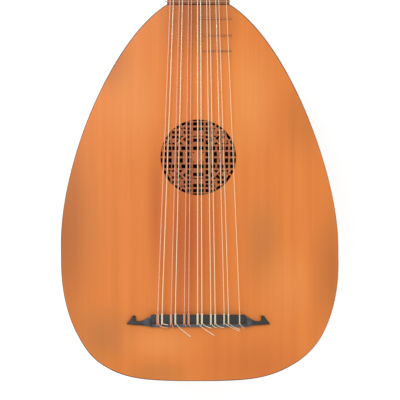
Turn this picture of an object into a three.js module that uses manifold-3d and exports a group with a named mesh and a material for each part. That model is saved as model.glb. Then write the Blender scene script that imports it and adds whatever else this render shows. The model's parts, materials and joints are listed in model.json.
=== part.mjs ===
// A seven-course lute at life size, lying on its back with the soundboard up.
// Lengths are in millimetres. X runs across the strings from bass to treble, Y from the
// tail to the neck, and Z up from the flat facet of the bowl that the lute rests on.
import * as THREE from 'three';
import { mergeVertices } from 'three/addons/utils/BufferGeometryUtils.js';
import Module from 'manifold-3d';

const wasm = await Module();
wasm.setup();

// Gaps between pieces, and the overrun of cutting tools
const seam = 0.3;
const turningRoom = 0.25;
const overrun = 4;

// Body: the outline is drawn from the widest place, which is also where the bowl rests
const bodyHalfWidth = 155;
const restHalfLength = 10;
const bodyAhead = 279;
const bodyBehind = 142;
const neckHalfWidth = 35;
const shoulderAngle = THREE.MathUtils.degToRad(31.9);
const shoulderHandleShare = 0.278;
const flankHandleShare = 0.321;
// Where the flank turns into the tail, and the handles of the curves that meet there
const hipOutShare = 0.705;
const hipBehindShare = 0.859;
const hipAngle = THREE.MathUtils.degToRad(56.8);
const flankEndHandleShare = 0.347;
const hipHandleShare = 0.241;
const tailHandleShare = 0.36;
// The body isn't quite even: it leans to the treble side behind the rose, and back at the tail
const leanOut = 1.8;
const leanBack = 3.9;
const leanStartShare = 0.58;
const leanFullShare = 0.35;
const leanBackShare = 0.63;

// Bowl of ribs
const bowlDepth = 154;
const neckRootDepth = 30;
const ribCount = 9;
const ribThickness = 1.8;
const flankStations = 13;
const tailStations = 11;
const ribTipShare = 0.05;

// Tail clasp outside the ribs, and the liner inside them
const claspHalfLength = 92;
const claspHeight = 21;
const claspEndHeight = 9;
const claspThickness = 1.2;
const claspSteps = 20;
const claspRows = 3;
const linerHalfLength = 74;
const linerHeight = 24;
const linerThickness = 3.5;
const linerRoom = 1.6;
const linerSteps = 10;

// Block that joins the bowl to the neck
const blockStations = 3;
const blockRoom = 0.9;

// Soundboard
const boardThickness = 2;
const boardSteps = 40;
const barWidth = 4.5;
const barHeight = 14;
const barEndHeight = 5;
const barPlaceShares = [0.83, 0.7, 0.57, 0.2, 0.02, -0.28];
const barEndGap = 5;

// Rose carved through the soundboard: straps on a square grid inside a circle
const roseRadius = 42.2;
const roseAhead = 108;
const roseSides = 48;
const strapWidth = 2.3;
const thinStrapWidth = 1.1;
// Straps: share of the radius from the centre, and shares where each starts and ends along
const strapShares = [
  [0, 0, 1.1], [0.166, 0, 1.1], [0.313, 0, 1.1], [0.595, 0, 0.72], [0.72, 0.313, 0.74],
  [0.815, 0, 0.41], [0.475, 0.595, 0.78], [0.475, 0.166, 0.313], [0.52, 0, 0.166],
];
const thinStrapShares = [
  [0.705, 0.166, 0.313], [0.403, 0.72, 0.815], [0.94, 0, 0.313],
];
// Plain leaves: shares where each starts and ends out from the centre, and along
const leafShares = [
  [0.313, 0.41, 0, 0.166], [0.595, 0.705, 0, 0.166], [0.925, 1.1, 0.166, 0.313],
  [0.595, 0.72, 0.385, 0.475],
];
// Curved straps near the edge, each from an arm of the cross to the frame's corner
const curvedStrapShare = 0.912;
const curvedStrapWidth = 1.5;
const curvedStrapSides = 3;
const curvedStrapStart = THREE.MathUtils.degToRad(19.5);
const curvedStrapEnd = THREE.MathUtils.degToRad(38.5);
// On each diagonal: a strap across it, a leaf inside that strap and two thin straps outside
const diagonalStrapShare = 0.65;
const diagonalStrapHalfShare = 0.205;
const diagonalLeafStartShare = 0.44;
const diagonalLeafHalfShare = 0.045;
const forkPlaceShare = 0.05;
const forkEndShare = 0.8;
// A spoke from each curved strap to the edge
const spokeAngle = THREE.MathUtils.degToRad(28.5);
const spokeWidth = 1.9;
const centreHalf = 7.8;
const centreHoleRadius = 0.8;
const centreHolePlace = 5.3;

// The bridge, and the wings at its ends
const bridgeBehind = 67.6;
const bridgeWidth = 104.5;
const bridgeDepth = 14;
const bridgeTopDepth = 9;
const bridgeHeight = 8;
const bridgeHeelHeight = 2.5;
const bridgeRound = 1.6;
const bridgeHoleHeight = 5.3;
const wingReach = 28;
const wingHeight = 4;
// Outline of a wing from the block outwards and back: shares of its reach and of the depth
const wingShares = [
  [0, 0], [0.1, 0.04], [0.3, 0.13], [0.7, 0.18], [1, 0.24], [0.93, 0.43], [0.83, 0.66],
  [0.76, 0.88], [0.69, 0.93], [0.63, 0.84], [0.64, 0.62], [0.58, 0.49], [0.42, 0.5],
  [0.28, 0.6], [0.14, 0.76], [0, 0.96],
];
const courseSpacing = 14.8;
const pairSpacing = 4.8;
const courseShift = 1.6;

// Neck, fingerboard and nut
const nutHalfWidth = 26.5;
const neckNutDepth = 24;
const neckSides = 12;
const loopSides = 8;
const fingerboardThickness = 3;
const nutThickness = 4.5;
const neckPastNut = 1;
const nutStringHeight = 2;
const nutCourseSpacing = 7;
const nutPairSpacing = 2.4;
const nutCourseShift = 0.4;

// Frets: the last tied fret lies just past the neck's joint, and that fixes the string length
const tiedFretCount = 9;
const lastFretAhead = 3.3;
const fretRadius = 0.45;
const fretSides = 5;
const fretKnotRadius = 1.1;
const fretRoom = 0.35;
const boardFretCount = 3;
const boardFretWidth = 1.6;
const boardFretHeight = 1.1;
const boardFretEnd = 37;
const boardFretStartShares = [-0.07, 0.14, 0.14];

// Pegbox, bent back from the neck
const pegboxBend = THREE.MathUtils.degToRad(78);
const pegboxAhead = 3;
const pegboxTop = 8.5;
const pegboxEndHalfWidth = 17;
const pegboxDepth = 26;
const pegboxFrontDrop = 8;
const cheekThickness = 4.2;
const backThickness = 3;
const endBlockLength = 8;
const headBlockLength = 9;
const headBlockDrop = 16;

// Pegs
const bassPegCount = 7;
const pegCount = 13;
const firstPeg = 22;
const lastPegRoom = 15;
const pegSpace = 1.75;
const pegTipRadius = 3.1;
const pegShoulderRadius = 4;
const pegTipReach = 2.2;
const pegSides = 8;
const collarRadius = 4.9;
const collarLength = 2.4;
const shankRadius = 3;
const shankLength = 6;
const headLength = 21;
const headHalfWidth = 8;
const headThickness = 5.6;
const headRound = 1.5;
const headPipRadius = 1.5;
const headTurn = THREE.MathUtils.degToRad(37);

// Strings: radius of each, from the seventh course's bass to the chanterelle
const stringRadii = [0.62, 0.4, 0.55, 0.38, 0.46, 0.46, 0.42, 0.42, 0.36, 0.36, 0.3, 0.3, 0.26];
const stringNames = ['7_bass', '7_octave', '6_bass', '6_octave', '5_a', '5_b', '4_a', '4_b',
  '3_a', '3_b', '2_a', '2_b', '1'];
const woundStrings = ['7_bass', '6_bass', '5_a', '5_b'];
const stringSides = 5;
const windingTurns = 2;
const windingSteps = 9;
const turnGap = 0.55;
const loopSpace = 0.65;
const loopFootShare = 0.7;
const cornerShare = 0.7;
const innerTurnShare = 0.68;
const outerTurnShare = 0.12;
const loopDrop = 1.1;
const tailRise = 0.7;
const tailFall = 3;
// Each string's cut end: the kink and the end, as places to the treble side of its hole and
// behind the bridge; a place below zero still lies on the bridge's sloping back
const stringTails = [
  [3, -1.2, 11, 0.8], [2.5, -3.4, 6.4, -2.8],
  [1.5, -2.4, 2.6, 0.6], [5, 1, 17.2, 10.9],
  [1, -2.8, 2.2, -1.2], [1, -2.8, 2.2, -1.2],
  [5.2, 0.2, 18.5, 9.3], [3.6, -1.6, 10.8, 1.2],
  [2.4, -1.6, 6.5, 0.8], [3, -1.6, 9.6, 0.6],
  [6, -0.8, 17.8, 4.7], [4.4, -1.2, 12.7, 2.6],
  [2, -1.6, 5, 1.2],
];

// Colours, with the roughness of each finish
const spruce = { color: 0xd98c4c, roughness: 0.45 };
const walnut = { color: 0x7a4a2c, roughness: 0.35 };
const maple = { color: 0xa86a38, roughness: 0.4 };
const plum = { color: 0x8c5a38, roughness: 0.5 };
const blackWood = { color: 0x2b2420, roughness: 0.4 };
const bone = { color: 0xe8dcc0, roughness: 0.35 };
const gut = { color: 0xe9d8b0, roughness: 0.4 };
const copper = { color: 0xc98a70, roughness: 0.35, metalness: 0.7 };
const rosewood = { color: 0x45281a, roughness: 0.3 };
const innerWood = { color: 0xd8b384, roughness: 0.7 };

// Heights and places that follow from the dimensions
const boardUnder = bowlDepth + seam;
const boardTop = boardUnder + boardThickness;
const bridgeFront = -bridgeBehind;
const bridgeBack = bridgeFront - bridgeDepth;
const lastFretLength = bridgeBehind + bodyAhead + lastFretAhead;
const stringLength = lastFretLength * 2 ** (tiedFretCount / 12);
const nutY = bridgeFront + stringLength;
const neckEnd = nutY + nutThickness + neckPastNut;
const facetFactor = 1 / Math.cos(Math.PI / ribCount / 2);
const pegPitch = 2 * pegShoulderRadius + pegSpace;
const pegboxLength = firstPeg + (pegCount - 1) * pegPitch + lastPegRoom;

// Solids: three.js geometry to manifold and back
function solid(geometry) {
  const bare = geometry.index ? geometry.toNonIndexed() : geometry.clone();
  bare.deleteAttribute('normal');
  bare.deleteAttribute('uv');
  const merged = mergeVertices(bare, 1e-4);
  return new wasm.Manifold(new wasm.Mesh({
    numProp: 3,
    vertProperties: Float32Array.from(merged.attributes.position.array),
    triVerts: Uint32Array.from(merged.index.array),
  }));
}

function shaped(manifold) {
  const mesh = manifold.getMesh();
  const geometry = new THREE.BufferGeometry();
  geometry.setAttribute('position', new THREE.BufferAttribute(mesh.vertProperties, 3));
  geometry.setIndex(new THREE.BufferAttribute(mesh.triVerts, 1));
  geometry.computeVertexNormals();
  return geometry;
}

function joined(pieces) {
  return pieces.map(solid).reduce((whole, piece) => whole.add(piece));
}

function box(x0, x1, y0, y1, z0, z1) {
  const geometry = new THREE.BoxGeometry(x1 - x0, y1 - y0, z1 - z0);
  return geometry.translate((x0 + x1) / 2, (y0 + y1) / 2, (z0 + z1) / 2);
}

function prism(points, depth, curveSegments = 5) {
  const options = { depth, bevelEnabled: false, curveSegments };
  const shape = Array.isArray(points) ? new THREE.Shape(points) : points;
  return new THREE.ExtrudeGeometry(shape, options);
}

// A closed skin over rings of points: every ring has the same count, in the same order
function loft(rings) {
  const count = rings[0].length;
  const positions = rings.flat().flatMap((point) => [point.x, point.y, point.z]);
  const index = [];
  for (let ring = 0; ring < rings.length - 1; ring += 1) {
    for (let side = 0; side < count; side += 1) {
      const a = ring * count + side;
      const b = ring * count + (side + 1) % count;
      index.push(a, b, b + count, a, b + count, a + count);
    }
  }
  const last = (rings.length - 1) * count;
  for (let side = 1; side < count - 1; side += 1) {
    index.push(0, side + 1, side);
    index.push(last, last + side, last + side + 1);
  }
  // The index is read backwards where the rings run the other way, so faces point outwards
  let volume = 0;
  const points = rings.flat();
  for (let i = 0; i < index.length; i += 3) {
    const [a, b, c] = index.slice(i, i + 3).map((corner) => points[corner]);
    volume += a.dot(b.clone().cross(c));
  }
  const geometry = new THREE.BufferGeometry();
  geometry.setAttribute('position', new THREE.Float32BufferAttribute(positions, 3));
  geometry.setIndex(volume < 0 ? index.reverse() : index);
  geometry.computeVertexNormals();
  return geometry;
}

// A route whose stations are its own points, so straight runs cost few steps
class Route extends THREE.CatmullRomCurve3 {
  getUtoTmapping(u) {
    return u;
  }
}

function tube(points, radius, sides) {
  const section = [];
  for (let side = 0; side < sides; side += 1) {
    const angle = 2 * Math.PI * side / sides;
    section.push(new THREE.Vector2(radius * Math.cos(angle), radius * Math.sin(angle)));
  }
  return new THREE.ExtrudeGeometry(new THREE.Shape(section), {
    steps: points.length - 1,
    bevelEnabled: false,
    extrudePath: new Route(points),
  });
}

// Half of the body's outline, as points (half-width, y) with their outward normals
const flankCurve = new THREE.CubicBezierCurve(
  new THREE.Vector2(neckHalfWidth, bodyAhead),
  new THREE.Vector2(
    neckHalfWidth + shoulderHandleShare * (bodyAhead - restHalfLength) * Math.cos(shoulderAngle),
    bodyAhead - shoulderHandleShare * (bodyAhead - restHalfLength) * Math.sin(shoulderAngle),
  ),
  new THREE.Vector2(
    bodyHalfWidth,
    restHalfLength + flankHandleShare * (bodyAhead - restHalfLength),
  ),
  new THREE.Vector2(bodyHalfWidth, restHalfLength),
);
const hip = new THREE.Vector2(hipOutShare * bodyHalfWidth, -hipBehindShare * bodyBehind);
const hipHandle = new THREE.Vector2(-Math.sin(hipAngle), -Math.cos(hipAngle))
  .multiplyScalar(hipHandleShare * bodyBehind);
const tailCurve = new THREE.CurvePath();
tailCurve.add(new THREE.CubicBezierCurve(
  new THREE.Vector2(bodyHalfWidth, -restHalfLength),
  new THREE.Vector2(bodyHalfWidth, -restHalfLength - flankEndHandleShare * bodyBehind),
  hip.clone().sub(hipHandle),
  hip,
));
tailCurve.add(new THREE.CubicBezierCurve(
  hip,
  hip.clone().add(hipHandle),
  new THREE.Vector2(tailHandleShare * bodyHalfWidth, -bodyBehind),
  new THREE.Vector2(0, -bodyBehind),
));

// How far the body leans to the treble side at y, at the height of the soundboard
function leanAt(y) {
  const start = leanStartShare * bodyAhead;
  const full = -leanFullShare * bodyBehind;
  const back = -leanBackShare * bodyBehind;
  return leanOut * THREE.MathUtils.smoothstep(start - y, 0, start - full)
    - leanBack * THREE.MathUtils.smoothstep(back - y, 0, back + bodyBehind);
}

// Leans a piece of the body, less towards the bottom of the bowl
function leaned(geometry) {
  const places = geometry.attributes.position;
  for (let i = 0; i < places.count; i += 1) {
    const height = Math.min(places.getZ(i) / bowlDepth, 1);
    places.setX(i, places.getX(i) + height * leanAt(places.getY(i)));
  }
  geometry.computeVertexNormals();
  return geometry;
}

function station(curve, u) {
  const point = curve.getPointAt(u);
  const tangent = curve.getTangentAt(u);
  return { w: point.x, y: point.y, nw: -tangent.y, ny: tangent.x };
}

function outline(flankSteps, tailSteps, tipShare) {
  const stations = [];
  for (let i = 0; i <= flankSteps; i += 1) {
    stations.push(station(flankCurve, i / flankSteps));
  }
  for (let i = 0; i <= tailSteps; i += 1) {
    stations.push(station(tailCurve, (1 - tipShare) * i / tailSteps));
  }
  return stations;
}

// The bowl's depth at a station, as a share of its half-width there
function depthShare(y) {
  const rise = THREE.MathUtils.smoothstep(bodyAhead - y, 0, bodyAhead - restHalfLength);
  return THREE.MathUtils.lerp(neckRootDepth / neckHalfWidth, bowlDepth / bodyHalfWidth, rise);
}

// The tail's curve at a given half-width, found by halving
function tailAt(w) {
  let low = 0;
  let high = 1;
  for (let i = 0; i < 30; i += 1) {
    const middle = (low + high) / 2;
    if (tailCurve.getPoint(middle).x > w) low = middle;
    else high = middle;
  }
  const point = tailCurve.getPoint(low);
  const tangent = tailCurve.getTangent(low);
  return { w: point.x, y: point.y, nw: -tangent.y, ny: tangent.x };
}

// Towards the tail the ribs draw in under the soundboard, to make room for the clasp
const claspRoom = claspThickness + seam;
const claspEnd = tailAt(claspHalfLength);

function ribInsetAt(y) {
  return claspRoom * THREE.MathUtils.smoothstep(-y, restHalfLength, -claspEnd.y);
}

// A point of the bowl: its angle runs from the treble edge, under the belly, to the bass edge
function bowlPoint(place, angle, inset) {
  const whole = inset + ribInsetAt(place.y);
  const w = place.w - whole * place.nw;
  const drop = w * depthShare(place.y) * facetFactor;
  return new THREE.Vector3(
    w * Math.cos(angle),
    place.y - whole * place.ny,
    bowlDepth - drop * Math.sin(angle),
  );
}

const bowlStations = outline(flankStations, tailStations, ribTipShare);

function rib(number) {
  const first = Math.PI * number / ribCount;
  const second = Math.PI * (number + 1) / ribCount;
  const rings = bowlStations.map((place) => {
    const corners = [
      bowlPoint(place, first, 0),
      bowlPoint(place, second, 0),
      bowlPoint(place, second, ribThickness),
      bowlPoint(place, first, ribThickness),
    ];
    const across = corners[1].clone().sub(corners[0]).setLength(seam / 2);
    corners[0].add(across);
    corners[3].add(across);
    corners[1].sub(across);
    corners[2].sub(across);
    return corners;
  });
  return leaned(loft(rings));
}

// A point of the clasp, at x and at a depth below the soundboard; inset is how far it lies
// inside the soundboard's edge
function claspPoint(x, drop, inset) {
  const factor = depthShare(-bodyBehind) * facetFactor;
  const radius = Math.max(Math.hypot(x, drop / factor), seam);
  const place = tailAt(radius);
  const normal = new THREE.Vector3(
    place.nw * x / radius,
    place.ny,
    -place.nw * drop / factor / factor / radius,
  ).normalize();
  return new THREE.Vector3(x, place.y, bowlDepth - drop).addScaledVector(normal, -inset);
}

function endClasp() {
  const rings = [];
  for (let step = 0; step <= claspSteps; step += 1) {
    const share = 2 * step / claspSteps - 1;
    const reach = Math.sqrt(1 - share * share);
    const height = THREE.MathUtils.lerp(claspEndHeight, claspHeight, reach);
    const ring = [];
    for (let row = 0; row <= claspRows; row += 1) {
      ring.push(claspPoint(share * claspHalfLength, height * row / claspRows, claspThickness));
    }
    for (let row = claspRows; row >= 0; row -= 1) {
      ring.push(claspPoint(share * claspHalfLength, height * row / claspRows, 0));
    }
    rings.push(ring);
  }
  return leaned(loft(rings));
}

function endLiner() {
  const linerInset = claspRoom + ribThickness + linerRoom;
  const rings = [];
  for (let step = 0; step <= linerSteps; step += 1) {
    const x = linerHalfLength * (2 * step / linerSteps - 1);
    const place = tailAt(Math.max(Math.abs(x), seam));
    const side = Math.sign(x);
    const top = bowlDepth - seam;
    const ring = [];
    for (const [inset, z] of [
      [linerInset, top],
      [linerInset, top - linerHeight],
      [linerInset + linerThickness, top - linerHeight],
      [linerInset + linerThickness, top],
    ]) {
      const w = Math.abs(x) - inset * place.nw;
      ring.push(new THREE.Vector3(side * w, place.y - inset * place.ny, z));
    }
    rings.push(ring);
  }
  return leaned(loft(rings));
}

// Rings of a half-round section with a flat top, for the block and the neck
function halfRound(y, halfWidth, depth, top, sides) {
  const ring = [];
  for (let side = 0; side <= sides; side += 1) {
    const angle = Math.PI * side / sides;
    ring.push(new THREE.Vector3(
      halfWidth * Math.cos(angle),
      y,
      top - depth * Math.sin(angle),
    ));
  }
  return ring;
}

function neckBlock() {
  const inset = ribThickness + blockRoom;
  const ringAt = (place) => {
    const ring = [];
    for (let side = 0; side <= ribCount; side += 1) {
      const point = bowlPoint(place, Math.PI * side / ribCount, inset);
      point.z -= seam;
      ring.push(point);
    }
    return ring;
  };
  const rings = bowlStations.slice(0, blockStations).map(ringAt);
  const face = rings[0].map((point) => new THREE.Vector3(point.x, bodyAhead, point.z));
  return loft([face, ...rings]);
}

const neckTop = boardTop - fingerboardThickness - seam;

// The pegbox's own frame: x across, y down its length from the neck, z out of its open front
function toPegbox(object) {
  object.position.set(0, neckEnd + pegboxAhead, boardTop);
  object.rotation.x = -pegboxBend;
  object.updateMatrixWorld();
  return object;
}
const pegboxFrame = toPegbox(new THREE.Object3D()).matrixWorld;

function neckHalfAt(y) {
  const share = (y - bodyAhead) / (neckEnd - bodyAhead);
  return THREE.MathUtils.lerp(neckHalfWidth, nutHalfWidth, share);
}

function neckDepthAt(y) {
  const share = (y - bodyAhead) / (neckEnd - bodyAhead);
  return THREE.MathUtils.lerp(neckRootDepth, neckNutDepth, share);
}

// The neck is rebated at its end, square to the pegbox that is glued in there
function neck() {
  const start = bodyAhead + seam;
  const top = neckTop;
  const whole = solid(loft([
    halfRound(start, neckHalfAt(start), neckDepthAt(start), top, neckSides),
    halfRound(neckEnd, nutHalfWidth, neckNutDepth, top, neckSides),
  ]));
  const rebate = box(
    -2 * nutHalfWidth, 2 * nutHalfWidth,
    pegboxTop - seam, pegboxLength,
    -pegboxDepth - seam, pegboxDepth,
  ).applyMatrix4(pegboxFrame);
  return shaped(whole.subtract(solid(rebate)));
}

function fingerboard() {
  const start = bodyAhead + seam;
  const end = nutY - seam;
  const shape = [
    new THREE.Vector2(-neckHalfAt(start), start),
    new THREE.Vector2(neckHalfAt(start), start),
    new THREE.Vector2(neckHalfAt(end), end),
    new THREE.Vector2(-neckHalfAt(end), end),
  ];
  return prism(shape, fingerboardThickness).translate(0, 0, boardTop - fingerboardThickness);
}

// Places of the strings: x at the bridge and at the nut
function courseOf(string) {
  const course = Math.floor(string / 2);
  const single = string === pegCount - 1;
  const half = single ? 0 : (string % 2 - 0.5);
  return { course: course - (pegCount - 1) / 4, half };
}

function bridgeX(string) {
  const { course, half } = courseOf(string);
  return courseShift + course * courseSpacing + half * pairSpacing;
}

function nutX(string) {
  const { course, half } = courseOf(string);
  return nutCourseShift + course * nutCourseSpacing + half * nutPairSpacing;
}

const holeZ = boardTop + seam + bridgeHoleHeight;
const nutZ = boardTop + nutStringHeight;

// A rod along Y, for drilled holes and filed slots
function rodY(x, z, radius, y0, y1, sides) {
  const rod = new THREE.CylinderGeometry(radius, radius, y1 - y0, sides);
  return rod.translate(x, (y0 + y1) / 2, z);
}

function wing() {
  const outer = wingShares.map(([along, up]) => (
    new THREE.Vector2(along * wingReach, up * bridgeDepth)
  ));
  const start = new THREE.Vector2(-seam, outer[0].y);
  const end = new THREE.Vector2(-seam, outer[outer.length - 1].y);
  return prism([start, ...outer, end], wingHeight);
}

// The bridge: a drilled block with a moustache at each end, glued to the soundboard
function bridge() {
  const foot = boardTop + seam;
  const profile = new THREE.Shape();
  profile.moveTo(0, 0);
  profile.lineTo(0, bridgeHeight - bridgeRound);
  profile.quadraticCurveTo(0, bridgeHeight, bridgeRound, bridgeHeight);
  profile.lineTo(bridgeTopDepth - bridgeRound / 2, bridgeHeight);
  profile.lineTo(bridgeTopDepth, bridgeHeight - bridgeRound / 2);
  profile.quadraticCurveTo(
    bridgeTopDepth + bridgeRound, bridgeHeelHeight + bridgeRound,
    bridgeDepth, bridgeHeelHeight,
  );
  profile.lineTo(bridgeDepth, 0);
  const block = prism(profile, bridgeWidth, 4);
  block.applyMatrix4(new THREE.Matrix4().makeBasis(
    new THREE.Vector3(0, -1, 0),
    new THREE.Vector3(0, 0, 1),
    new THREE.Vector3(-1, 0, 0),
  ));
  block.translate(bridgeWidth / 2, bridgeFront, foot);
  const right = wing().translate(bridgeWidth / 2, bridgeBack, foot);
  const left = wing().rotateY(Math.PI).translate(-bridgeWidth / 2, bridgeBack, foot + wingHeight);
  const holes = stringRadii.map((radius, string) => rodY(
    bridgeX(string), holeZ, radius + seam + turningRoom,
    bridgeBack - overrun, bridgeFront + overrun, 6,
  ));
  return shaped(joined([block, right, left]).subtract(joined(holes)));
}

function nut() {
  const foot = neckTop + seam;
  const half = neckHalfAt(nutY);
  const top = nutStringHeight + boardTop - foot;
  const block = box(-half, half, nutY, nutY + nutThickness, foot, foot + top);
  const slots = stringRadii.map((radius, string) => rodY(
    nutX(string), nutZ, radius + seam, nutY - overrun, nutY + nutThickness + overrun, 6,
  ));
  return shaped(solid(block).subtract(joined(slots)));
}

// A wooden fret glued to the soundboard on the treble side
function boardFret(number) {
  const y = fretPlace(tiedFretCount + 1 + number);
  const foot = boardTop + seam;
  const section = new THREE.Shape();
  section.moveTo(-boardFretWidth / 2, 0);
  section.lineTo(boardFretWidth / 2, 0);
  section.lineTo(boardFretWidth / 2, boardFretHeight / 2);
  section.quadraticCurveTo(0, 3 * boardFretHeight / 2, -boardFretWidth / 2, boardFretHeight / 2);
  const start = boardFretStartShares[number] * neckHalfWidth;
  const strip = new THREE.ExtrudeGeometry(section, {
    depth: boardFretEnd - start, bevelEnabled: false, curveSegments: 3,
  });
  strip.applyMatrix4(new THREE.Matrix4().makeBasis(
    new THREE.Vector3(0, 1, 0),
    new THREE.Vector3(0, 0, 1),
    new THREE.Vector3(1, 0, 0),
  ));
  return strip.translate(start, y, foot);
}

function fretPlace(fret) {
  return bridgeFront + stringLength / 2 ** (fret / 12);
}

// A loop of gut tied round the neck, with its knot at the bass edge of the fingerboard
function tiedFret(y) {
  const clear = fretRoom + fretRadius;
  const half = neckHalfAt(y) + clear;
  const depth = neckDepthAt(y) + clear;
  const points = [
    new THREE.Vector3(-half, y, boardTop - fingerboardThickness / 2),
    new THREE.Vector3(-half + clear / 2, y, boardTop + clear / 2),
    new THREE.Vector3(-half + 2 * clear, y, boardTop + clear),
    new THREE.Vector3(0, y, boardTop + clear),
    new THREE.Vector3(half - 2 * clear, y, boardTop + clear),
    new THREE.Vector3(half - clear / 2, y, boardTop + clear / 2),
    new THREE.Vector3(half, y, boardTop - fingerboardThickness / 2),
  ];
  const belly = 1 / Math.cos(Math.PI / loopSides / 2);
  for (let side = 1; side < loopSides; side += 1) {
    const angle = Math.PI * side / loopSides;
    points.push(new THREE.Vector3(
      belly * half * Math.cos(angle), y, neckTop - belly * depth * Math.sin(angle),
    ));
  }
  points.push(new THREE.Vector3(-half, y, boardTop - fingerboardThickness / 2 - fretRadius));
  const knot = new THREE.SphereGeometry(fretKnotRadius, 5, 3);
  knot.translate(-half - fretKnotRadius / 2, y, boardTop - fingerboardThickness / 2);
  return shaped(solid(tube(points, fretRadius, fretSides)).add(solid(knot)));
}

// Soundboard, its bars, and the rose cut through it
function boardShape() {
  const half = outline(boardSteps / 2, boardSteps / 2, 0);
  const treble = half.map((place) => new THREE.Vector2(place.w, place.y));
  const bass = half.slice(0, -1).reverse().map((place) => new THREE.Vector2(-place.w, place.y));
  return new THREE.Shape([...treble, ...bass].reverse());
}

function halfWidthAt(y) {
  const places = outline(boardSteps, boardSteps, 0);
  const next = places.findIndex((place) => place.y <= y);
  const a = places[next - 1];
  const b = places[next];
  return THREE.MathUtils.mapLinear(y, a.y, b.y, a.w, b.w);
}

function bar(y) {
  const half = halfWidthAt(y + Math.sign(y) * barWidth) - ribThickness - barEndGap;
  const scallop = Math.min(2 * barHeight, half / 2);
  const shape = [
    new THREE.Vector2(-half, 0),
    new THREE.Vector2(-half, -barEndHeight),
    new THREE.Vector2(-half + scallop, -barHeight),
    new THREE.Vector2(half - scallop, -barHeight),
    new THREE.Vector2(half, -barEndHeight),
    new THREE.Vector2(half, 0),
  ];
  const strip = prism(shape, barWidth);
  strip.rotateX(Math.PI / 2);
  return leaned(strip.translate(0, y + barWidth / 2, boardUnder + boardThickness / 2));
}

// The rose's straps and leaves: each is repeated on both sides of its arm, and on four arms
function roseStraps() {
  const size = (share) => share * roseRadius;
  const tall = 2 * boardThickness;
  const straps = [];
  // A straight piece: where it starts and ends out from the centre, then along, and its turn
  const piece = (inner, outer, start, end, turn) => {
    const bandBox = new THREE.BoxGeometry(outer - inner, end - start, tall);
    straps.push(bandBox.translate((inner + outer) / 2, (start + end) / 2, 0).rotateZ(turn));
  };
  const bothSides = (inner, outer, start, end, turn) => {
    if (start === 0) {
      piece(inner, outer, -end, end, turn);
    } else {
      piece(inner, outer, start, end, turn);
      piece(inner, outer, -end, -start, turn);
    }
  };
  const strap = (line, width, start, end, turn) => {
    bothSides(line - width / 2, line + width / 2, start, end, turn);
  };
  const curvedRadius = size(curvedStrapShare);
  const curved = (start, end, turn) => {
    const arc = new THREE.Shape();
    arc.absarc(0, 0, curvedRadius + curvedStrapWidth / 2, start, end);
    arc.absarc(0, 0, curvedRadius - curvedStrapWidth / 2, end, start, true);
    const bandArc = prism(arc, tall, curvedStrapSides).translate(0, 0, -tall / 2);
    straps.push(bandArc.rotateZ(turn));
  };
  for (let quarter = 0; quarter < 4; quarter += 1) {
    const turn = quarter * Math.PI / 2;
    const diagonal = turn + Math.PI / 4;
    strapShares.forEach(([share, start, end]) => {
      strap(size(share), strapWidth, size(start), size(end), turn);
    });
    thinStrapShares.forEach(([share, start, end]) => {
      strap(size(share), thinStrapWidth, size(start), size(end), turn);
    });
    leafShares.forEach((leaf) => bothSides(...leaf.map(size), turn));
    curved(curvedStrapStart, curvedStrapEnd, turn);
    curved(-curvedStrapEnd, -curvedStrapStart, turn);
    [turn + spokeAngle, turn - spokeAngle].forEach((angle) => {
      piece(curvedRadius, roseRadius + overrun, -spokeWidth / 2, spokeWidth / 2, angle);
    });
    const across = size(diagonalStrapShare);
    strap(across, strapWidth, 0, size(diagonalStrapHalfShare), diagonal);
    piece(
      size(diagonalLeafStartShare), across,
      -size(diagonalLeafHalfShare), size(diagonalLeafHalfShare), diagonal,
    );
    bothSides(
      across, size(forkEndShare),
      size(forkPlaceShare) - thinStrapWidth / 2, size(forkPlaceShare) + thinStrapWidth / 2,
      diagonal,
    );
  }
  const centre = new THREE.BoxGeometry(2 * centreHalf, 2 * centreHalf, tall);
  return joined([...straps, centre]);
}

function roseOpenings() {
  const tall = boardThickness + boardThickness / 2;
  const disc = new THREE.CylinderGeometry(roseRadius, roseRadius, tall, roseSides);
  const openings = solid(disc.rotateX(Math.PI / 2)).subtract(roseStraps());
  const holes = [];
  for (const sideX of [-1, 1]) {
    for (const sideY of [-1, 1]) {
      const hole = new THREE.CylinderGeometry(centreHoleRadius, centreHoleRadius, tall, 6);
      hole.rotateX(Math.PI / 2);
      holes.push(hole.translate(sideX * centreHolePlace, sideY * centreHolePlace, 0));
    }
  }
  return openings.add(joined(holes)).translate([0, roseAhead, boardUnder + boardThickness / 2]);
}

function soundboard() {
  const plate = prism(boardShape(), boardThickness).translate(0, 0, boardUnder);
  const whole = solid(leaned(plate)).subtract(roseOpenings());
  const places = barPlaceShares.map((share) => share * (share > 0 ? bodyAhead : bodyBehind));
  return shaped(places.map(bar).map(solid).reduce((board, strip) => board.add(strip), whole));
}

// Pegbox pieces, in the pegbox's own frame
const pegboxTaper = Math.atan((nutHalfWidth - pegboxEndHalfWidth) / pegboxLength);

function pegboxHalfAt(y) {
  return nutHalfWidth - y * Math.tan(pegboxTaper);
}

function pegboxFrontAt(y) {
  return -pegboxFrontDrop * (y - pegboxTop) / (pegboxLength - pegboxTop);
}

const cheekBack = -pegboxDepth + backThickness + seam;

function pegY(number) {
  return firstPeg + number * pegPitch;
}

function pegZ(number) {
  return (pegboxFrontAt(pegY(number)) + cheekBack) / 2;
}

// Pegs alternate: even numbers have their heads on the bass side
function pegSide(number) {
  return number % 2 === 0 ? -1 : 1;
}

// Radius of a peg's shaft at x; the shaft tapers from its head's side to its tip
function pegRadiusAt(number, x) {
  const reach = pegboxHalfAt(pegY(number));
  const share = (x * pegSide(number) + reach) / (2 * reach);
  return THREE.MathUtils.lerp(pegTipRadius, pegShoulderRadius, share);
}

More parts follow.
